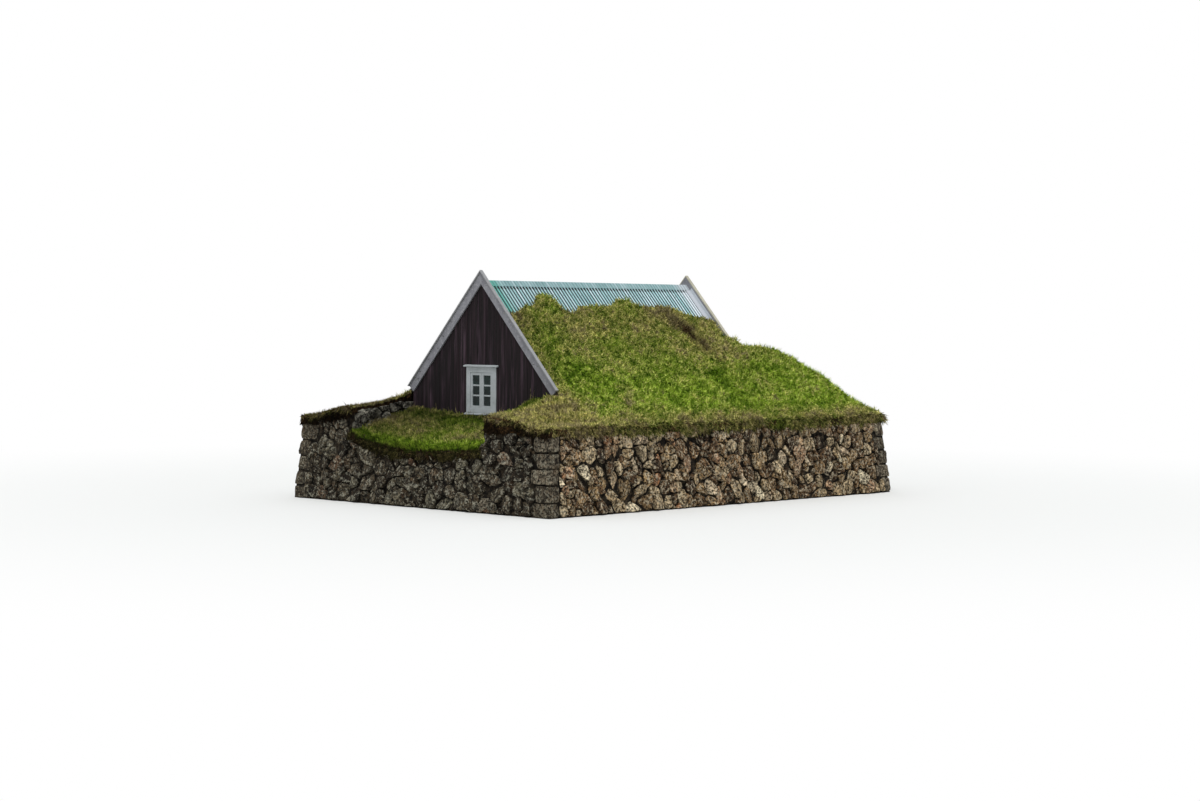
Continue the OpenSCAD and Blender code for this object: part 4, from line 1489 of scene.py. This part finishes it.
@dataclass
class TurfBanks:
    """The turf on the roof, the arms, the forecourt and the rear walls."""

    lip_x: float = span("right_turf_bank", X)[1]
    lip_y: float = span("rear_right_turf", Y)[1]
    court_lip: float = 4.38
    heights: Point = (1.45, 3.6)
    gash_at: Point = (1.2, 2.95)
    gash_size: Point = (0.24, 0.36)
    gash_slope: float = 0.8
    thinnest: float = 100.0
    crests: Sowing = Sowing("crest", 2600.0, normal=0.5, upward=0.7, scatter=0.5, ragged=0.8)
    roots: Sowing = Sowing("rim", 7000.0, width=0.009, normal=0.5, upward=-0.9, scatter=0.6, ragged=0.85)
    tufts: Sowing = Sowing("foot", 3200.0, 0.07, 0.009, 0.2, 1.0, 0.35, 0.9, SEED + 40)
    stalks: Sowing = Sowing("foot", 70.0, 0.24, 0.005, 0.1, 1.0, 0.25, 1.0, SEED + 41)
    banks: tuple[Bank, ...] = (
        Bank("right_turf_bank", bank_soil=0.72),
        Bank("left_turf_bank", density=1200.0, bank_soil=0.72, level=1),
        Bank("front_turf_bank", "turf", 2200.0, 0.055, 0.5, 0.014, bare_rim=0.6, fringe=0.09, bank_soil=0.8,
             shade=0.5, rim_dry=0.75),
        Bank("right_arm_turf", "dry_turf", 2400.0, 0.07, 0.1, 0.02, 0.0, 1.0, 0.085, rim_dry=0.75),
        Bank("left_arm_turf", "dry_turf", 1700.0, 0.05, 0.1, 0.03, 0.0, 1.0, 0.1, rim_dry=0.75),
        Bank("rear_right_turf", density=1100.0, hummock=0.04),
        Bank("rear_left_turf", density=1100.0, hummock=0.04),
    )

    def in_court(self, place: Place) -> bool:
        """Says whether a place is on the forecourt."""
        return HOUSE.court[0] < place[X] < HOUSE.court[1] and place[Y] < HOUSE.front + 0.01

    def dry_at(self, place: Place) -> float:
        """Gives how dry the turf is: green low down and on the forecourt, straw high up and on the arms.

        Args:
            place: The place.

        Returns:
            A share, past 1 where only straw is left.
        """
        x, y, z = place
        if self.in_court(place):
            ends = 0.3 * (1 - ease(x, -1.4, 0.2)) - 0.25 * (1 - ease(y, -4.3, -4.05))
            return 0.03 + ends + 0.42 * ease(y, -4.25, -3.95) * (1 - ease(y, -3.6, -3.15))
        rise = (z - self.heights[0]) / (self.heights[1] - self.heights[0])
        share = 0.2 + 0.42 * ease(rise, 0.15, 0.8) + 0.45 * (1 - ease(rise, 0.0, 0.13))
        arm = ease(-y, 2.0, 3.6)
        return max(share, arm * (0.86 if x > 0 else 1.0)) + 0.9 * self.gash(place)

    def soil_at(self, place: Place) -> float:
        """Gives how bare the turf is: a gash high on the right bank, and patches on the left arm."""
        return max(0.6 * self.gash(place), 0.34 * ease(-place[Y], 2.4, 3.3) * ease(-place[X], 1.8, 1.9))

    def gash(self, place: Place) -> float:
        """Gives how near a place is to the gash.

        Args:
            place: The place.

        Returns:
            A share, 1 at its middle and 0 away from it.
        """
        along = place[Y] - self.gash_at[0]
        off = (along, place[Z] - self.gash_at[1] + along * self.gash_slope)
        away = sum((part / size) ** 2 for part, size in zip(off, self.gash_size))
        return math.exp(-away) if place[X] > 0 else 0.0

    def painted_light_at(self, place: Place) -> float:
        """Gives the painted light and shade of the turf: shade on the forecourt, behind the front gable and
        on the left arm, light on the right arm.

        Args:
            place: The place.

        Returns:
            What its colour is multiplied by.
        """
        x, y, z = place
        # Painted shade on the forecourt, deepest by the gable and towards the left.
        if self.in_court(place):
            return (0.17 + 0.48 * ease(-y, 3.0, 3.8)) * (0.72 + 0.28 * ease(x, -1.6, -0.1))
        # Painted shade behind the front gable; painted light on the right arm and painted shade on the left
        # arm.
        gable_shade = 0.25 * ease(z, 1.9, 2.3) * (1 - ease(y, -2.85, -2.2))
        return 1.0 - gable_shade + ease(-y, 2.4, 3.2) * (0.2 if x > 0 else -0.35)

    def at_rim(self, place: Place, wide: float) -> float:
        """Gives 1 at the outer edges, where turf hangs over the stones, and 0 further in.

        Args:
            place: The place.
            wide: How far in it reaches 0.

        Returns:
            A share from 0 to 1.
        """
        x, y, _ = place
        edges = [(abs(x), self.lip_x, 0.02), (abs(y), self.lip_y, 0.02)]
        if HOUSE.court[0] < x < HOUSE.court[1]:
            edges.append((-y, self.court_lip, -0.04))
        return max(ease(place, lip - wide, lip - full) for place, lip, full in edges)

    def marks(self, bank: Bank, vertex: bpy.types.MeshVertex) -> dict[str, float]:
        """Gives what one point of the ground carries.

        Args:
            bank: The mass of turf.
            vertex: The point.

        Returns:
            Dryness, bare soil, painted light and shade, and the masks for blades, by name.
        """
        place = vertex.co
        x, y, z = place
        up = vertex.normal.z
        steep = 1 - ease(up, 0.1, 0.45)
        earthy = bank.bare_rim * (1 - ease(x, 2.6, 2.95) * ease(y, -4.38, -4.3))
        last = self.at_rim(place, 0.035) * earthy
        lip = self.at_rim(place, 0.07) * ease(up, 0.0, 0.4)
        uneven = 1 + 0.75 * noise.noise(place * 4.5)
        off = (z - HOUSE.ridge_z + math.tan(HOUSE.pitch) * abs(x)) * math.cos(HOUSE.pitch)
        return {
            "dry": self.dry_at(place),
            "soil": max(self.soil_at(place), steep * bank.bank_soil, last),
            # Painted shade along the rim of a bank that has shade, made ragged by noise.
            "light": self.painted_light_at(place) * (1 - bank.shade * self.at_rim(place, 0.22 * uneven)),
            "lawn": ease(up, 0.05, 0.35) * (1 - last * 0.8),
            "rim": max(self.at_rim(place, 0.16) * max(steep, last) * ease(up, -0.8, -0.4), lip),
            "hang": 0.72 * earthy * (1 - lip),
            "foot": ease(up, 0.3, 0.6) * ease(y, HOUSE.front - 0.16, HOUSE.front - 0.06),
            "crest": (1 - ease(off, 0.03, 0.1)) * ease(z, 2.3, 2.5) * ease(up, 0.2, 0.5),
        }

    def sow(self, earth: Object, name: str, sowing: Sowing, paint: Paint = Paint.GRASS,
            **numbers: object) -> Object:
        """Plants blades on a copy of the ground.

        Args:
            earth: The ground.
            name: The name of the result.
            sowing: The kind of blade.
            paint: Its finish.
            **numbers: What the ground carries instead: a number all over, or the name of another number.

        Returns:
            The blades.
        """
        bed = new_object("seedbed", earth.data.copy())
        row = np.zeros(len(bed.data.vertices), np.float32)
        for key, value in numbers.items():
            if isinstance(value, str):
                bed.data.attributes[value].data.foreach_get("value", row)
            carry(bed, **{key: row if isinstance(value, str) else value})
        thin = 0.3 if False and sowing.density > self.thinnest else 1.0
        return blade_tree().grow(bed, name, paint, **vars(replace(sowing, density=sowing.density * thin)))

    def build(self) -> None:
        """Builds ground, grass and hanging roots of every bank."""
        ground = ground_tree()
        for i, bank in enumerate(self.banks):
            name = bank.node
            source = copied(name)
            carry(source, edge=[self.at_rim(v.co, 0.3) * 0.7 for v in source.data.vertices])
            sizes = {"level": bank.level, "hummock": bank.hummock, "sink": bank.sink}
            earth = ground.grow(source, name + "_ground", Paint.TURF, **sizes)
            marks = [self.marks(bank, vertex) for vertex in earth.data.vertices]
            carry(earth, **{key: [mark[key] for mark in marks] for key in marks[0]})
            lawn = Sowing("lawn", bank.density, bank.length, upward=bank.droop, seed=SEED + i)
            pieces = [self.sow(earth, name + "_grass", lawn)]
            roots = replace(self.roots, length=bank.fringe, seed=SEED + 20 + i)
            fringe = self.sow(earth, name + "_fringe", roots, Paint.SHADED_ROOTS, soil="hang", dry=bank.rim_dry)
            if name in ("right_turf_bank", "left_turf_bank"):
                pieces.append(self.sow(earth, name + "_crest", replace(self.crests, seed=SEED + 60 + i)))
            if name == "front_turf_bank":
                # The blades at the gable's foot carry a low light number: painted shade at the foot of the
                # gable.
                pieces.append(self.sow(earth, "gable_foot_grass", self.tufts, light=0.4, dry=0.6))
                pieces.append(self.sow(earth, "dry_stalks", self.stalks, light=0.8, dry=1.6))
            show(earth, Paint.TURF, bank.slot, name)
            show(fringe, Paint.SHADED_ROOTS, bank.slot)
            for piece in pieces:
                show(piece, Paint.GRASS, bank.slot)


# Roof

@dataclass
class IronRoof:
    """Corrugated sheets, ridge cap and verge strips with their nails."""

    nail_rows: tuple[float, ...] = (0.34, 1.05, 1.75, 2.5)
    cap_rows: tuple[float, ...] = (0.145,)

    def nails(self, name: str, rows: Sequence[float], every: int, off: float, head: float) -> None:
        """Sets nails on the crests.

        Args:
            name: The piece's name.
            rows: Places down the slope.
            every: How many waves lie between two nails.
            off: Height over the plane of the crests.
            head: Radius of a nail head.
        """
        c, s = math.cos(HOUSE.pitch), math.sin(HOUSE.pitch)
        count = int((HOUSE.rear - HOUSE.front) / HOUSE.wave)
        spots = product((1, -1), rows, range(2, count - 1, every))
        points = [(side * (c * down + s * off), HOUSE.front + k * HOUSE.wave,
                   HOUSE.ridge_z - s * down + c * off) for side, down, k in spots]
        bed = shape(name, points, [])
        way = bed.data.attributes.new("way", VECTOR, "POINT")
        way.data.foreach_set("vector", [part for x, *_ in points for part in (math.copysign(s, x), 0, c)])
        show(stud_tree().grow(bed, name, Paint.CAP_IRON, head=head), Paint.CAP_IRON, "corrugated_iron")

    def build(self) -> None:
        """Dresses the sheets and adds the nails."""
        dress(Paint.SHEET, "left_iron_sheets", "right_iron_sheets")
        dress(Paint.CAP_IRON, "ridge_cap")
        dress(Paint.FLASHING, "front_flashings")
        dress(Paint.REAR_FLASHING, "rear_flashings")
        self.nails("sheet_nails", self.nail_rows, 3, 0.002, 0.007)
        self.nails("cap_nails", self.cap_rows, 2, 0.004, 0.008)


# Gables, window, door and timber

@dataclass
class Gables:
    """Tarred boarding, barge boards and their caps."""

    half_w: float = span("front_gable_boards", X)[1]
    low: float = span("front_gable_boards", Z)[0]
    top: float = 3.774
    board: float = 0.118
    uneven: Point = (0.86, 1.14)
    gap: float = 0.004
    least: float = 0.02
    least_area: float = 1e-4
    above: float = 5.0
    door: tuple[float, float, float] = (0.555, 0.2, 2.03)

    def window(self) -> tuple[float, float, float]:
        """Gives half width, foot and head of what the window covers."""
        sill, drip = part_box("window_sill")[0].z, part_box("window_drip_board")[1].z
        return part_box("window_casing")[1].x, sill, drip

    def strips(self, opening: tuple[float, float, float], rng: random.Random) -> Iterable[list[Point]]:
        """Divides a gable into boards round its opening.

        Args:
            opening: Half width, foot and head of the opening.
            rng: Where board widths come from.

        Returns:
            The outline of each board, across and up, one after the other.
        """
        half, foot, head = opening
        slope = math.tan(HOUSE.pitch)
        x = -self.half_w
        while x < self.half_w - self.least:
            edge = min(self.half_w, x + self.board * rng.uniform(*self.uneven))
            ends = [x, *(side for side in (-half, half) if x < side < edge), edge]
            for a, b in zip(ends, ends[1:]):
                last = b - self.gap
                whole = [(a, self.low), (last, self.low), (last, self.above), (a, self.above)]
                for sign in (1, -1):
                    whole = clipped(whole, (sign * slope, 1), self.top)
                parts = [whole]
                if a >= -half - 1e-6 and b <= half + 1e-6:
                    parts = [clipped(whole, (0, -1), -head)]
                    if foot > self.low + 0.03:
                        parts.append(clipped(whole, (0, 1), foot))
                yield from (p for p in parts if len(p) > 2 and area(p) > self.least_area)
            x = edge

    def build(self) -> None:
        """Boards both gables and eases the barge boards' edges."""
        rng = random.Random(SEED + 1)
        tree = board_tree()
        ends = (("front", HOUSE.front, -1, self.window(), Paint.CAP),
                ("rear", HOUSE.rear, 1, self.door, Paint.REAR_CAP))
        for end, y, side, opening, _ in ends:
            boards = [[(x, y, z) for x, z in poly] for poly in self.strips(opening, rng)]
            flat = outlined(f"{end}_boards", boards, Vector((0, side, 0)))
            show(tree.grow(flat, f"{end}_boards", Paint.TAR), Paint.TAR, "tarred_boards")
        for end, *_, cap in ends:
            dress(Paint.TAR, f"{end}_gable_boards")
            barges = (f"{end}_{hand}_barge_board" for hand in ("left", "right"))
            show_eased(Paint.BARGE, "barge_paint", 0.004, *barges)
            show_eased(cap, "cap_paint", 0.003, f"{end}_barge_caps")


@dataclass
class Window:
    """Two white casements of three panes each in a plain casing."""

    bar: float = 0.027
    panes: int = 3
    inset: float = 0.04
    front: float = 0.012
    back: float = 0.014

    def bars(self) -> Object:
        """Makes the glazing bars of both casements.

        Returns:
            The bars.
        """
        low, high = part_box("window_glass")
        plane = (low.y + high.y) / 2
        points: list[Place] = []
        for node, k in product(("left_casement", "right_casement"), range(1, self.panes)):
            left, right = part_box(node)
            mid = low.z + (high.z - low.z) * k / self.panes
            across = (left.x + self.inset, right.x - self.inset)
            deep = (plane - self.front, plane + self.back)
            points += product(across, deep, (mid - self.bar / 2, mid + self.bar / 2))
        faces = [[start + i for i in face] for start in range(0, len(points), 8) for face in BOX_FACES]
        return eased(shape("bars", points, faces), "glazing_bars", 0.004)

    def build(self) -> None:
        """Builds the bars and eases the joinery."""
        show(self.bars(), Paint.WHITE, "white_joinery")
        show_eased(Paint.WHITE, "white_joinery", 0.003, "window_casing", "window_drip_board", "window_sill",
                   "left_casement", "right_casement")
        dress(Paint.GLASS, "window_glass")


@dataclass
class Door:
    """The boarded door at the rear in its white casing."""

    half: float = 0.39
    low: float = 0.206
    high: float = 1.908
    boards: int = 6
    gap: float = 0.004

    def build(self) -> None:
        """Builds the leaf's boards and dresses the rest."""
        width = 2 * self.half / self.boards
        outlines = []
        for k in range(self.boards):
            a = -self.half + k * width
            b = a + width - self.gap
            corners = ((a, self.low), (b, self.low), (b, self.high), (a, self.high))
            outlines.append([(x, HOUSE.rear, z) for x, z in corners])
        flat = outlined("door_boards", outlines, Vector((0, 1, 0)))
        boards = board_tree().grow(flat, "door_boards", Paint.TAR, thick=0.006, uneven=0.001)
        show(boards, Paint.TAR, "tarred_boards")
        dress(Paint.TAR, "door_leaf")
        show_eased(Paint.WHITE, "white_joinery", 0.003, "door_casing")
        # A relief of 1 keeps the painted side shade off the threshold.
        show_eased(Paint.QUOIN_STONE, "flagstone", 0.006, "door_threshold", tone=0.5, relief=1.0)
        dress(Paint.IRON, "door_ironwork")


class Timber:
    """The roof frame, lining and floor."""

    def build(self) -> None:
        """Dresses the timber."""
        dress(Paint.TIMBER, "rafters", "ridge_board", "collars", "wall_plates", "front_gable_frame",
              "rear_gable_frame", "floor_sleepers")
        dress(Paint.LINING, "left_roof_boards", "right_roof_boards")
        dress(Paint.FLOOR, "floor_boards")


# Studio

@dataclass(frozen=True)
class Studio:
    """Pale floor, soft light and the camera."""

    turns: tuple[float, float, float] = (-43.687, -1.896, -0.308)
    eye: tuple[float, float, float] = (29.308, -30.682, 3.11)
    focal_px: float = 2342.826
    image_w: float = 1200.0
    sensor: float = 36.0
    furthest: float = 1000.0
    sun: float = 1.9
    sun_spread: float = math.radians(24)
    sun_way: tuple[float, float, float] = (-0.3, 0.36, -1.0)
    sky: tuple[float, ...] = (0.93, 0.96, 1.0, 1.0)
    sky_light: float = 0.62
    white: tuple[float, ...] = (1.0, 1.0, 1.0, 1.0)
    floor_half: float = 160.0
    floor_fades: Point = (7.0, 20.0)

    def camera(self) -> None:
        """Places the camera at the photograph's view."""
        yaw, pitch, roll = (math.radians(turn) for turn in self.turns)
        ahead = Vector((math.sin(yaw) * math.cos(pitch), math.cos(yaw) * math.cos(pitch), math.sin(pitch)))
        right = ahead.cross(Vector((0, 0, 1))).normalized()
        down = ahead.cross(right).normalized()
        side = math.cos(roll) * right + math.sin(roll) * down
        foot = -math.sin(roll) * right + math.cos(roll) * down
        lens = bpy.data.cameras.new("camera")
        lens.sensor_width = self.sensor
        lens.lens = self.focal_px / self.image_w * self.sensor
        lens.clip_end = self.furthest
        made = new_object("camera", lens)
        made.matrix_world = Matrix.Translation(self.eye) @ Matrix((side, -foot, -ahead)).transposed().to_4x4()
        bpy.context.scene.camera = made

    def lamps(self) -> None:
        """Hangs one broad soft lamp, as a sun behind cloud, and a pale sky."""
        lamp = bpy.data.lights.new("soft_sun", "SUN")
        lamp.energy = self.sun
        lamp.angle = self.sun_spread
        new_object("soft_sun", lamp).rotation_euler = Vector(self.sun_way).to_track_quat("-Z", "Y").to_euler()
        world = bpy.data.worlds.new("sky")
        bpy.context.scene.world = world
        world.use_nodes = True
        tree = Tree(world.node_tree)
        path = tree.node("ShaderNodeLightPath").outputs
        seen = tree.math("MAXIMUM", path["Is Camera Ray"], path["Is Glossy Ray"])
        seen = tree.math("MAXIMUM", seen, path["Is Transmission Ray"])
        dim = tree.out("ShaderNodeBackground", Color=self.sky, Strength=self.sky_light)
        white = tree.out("ShaderNodeBackground", Color=self.white, Strength=1.0)
        both = tree.node("ShaderNodeMixShader", {}, {0: seen, 1: dim, 2: white}).outputs[0]
        tree.node("ShaderNodeOutputWorld", {}, {"Surface": both})

    def floor(self) -> None:
        """Lays the pale floor, white to the camera further off."""
        half = self.floor_half
        corners = [(-half, -half, 0), (half, -half, 0), (half, half, 0), (-half, half, 0)]
        floor = shape("studio_floor", corners, [(0, 1, 2, 3)])
        s = Surface("studio_floor")
        across, along = s.axis("X"), s.axis("Y")
        far = s.math("SQRT", across * across + along * along).band(*self.floor_fades)
        share = far * s.node("ShaderNodeLightPath").outputs["Is Camera Ray"]
        white = s.out("ShaderNodeEmission", Color=self.white, Strength=1.0)
        both = s.node("ShaderNodeMixShader", {}, {0: share, 1: s.shader.outputs[0], 2: white}).outputs[0]
        s.feed(s.end.inputs["Surface"], both)
        floor.data.materials.append(s.finish("e9e9e6", 0.9))

    def build(self) -> None:
        """Sets up the studio."""
        bpy.context.scene.view_settings.view_transform = "Standard"
        self.camera()
        self.lamps()
        self.floor()


def main() -> None:
    """Builds every part of the house in order."""
    logging.basicConfig(level=logging.INFO, format="%(message)s")
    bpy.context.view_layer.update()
    for part in (Studio(), StoneWalls(), TurfBanks(), IronRoof(), Gables(), Window(), Door(), Timber()):
        LOG.info("%s", type(part).__name__)
        part.build()


if __name__ == "__main__":
    main()
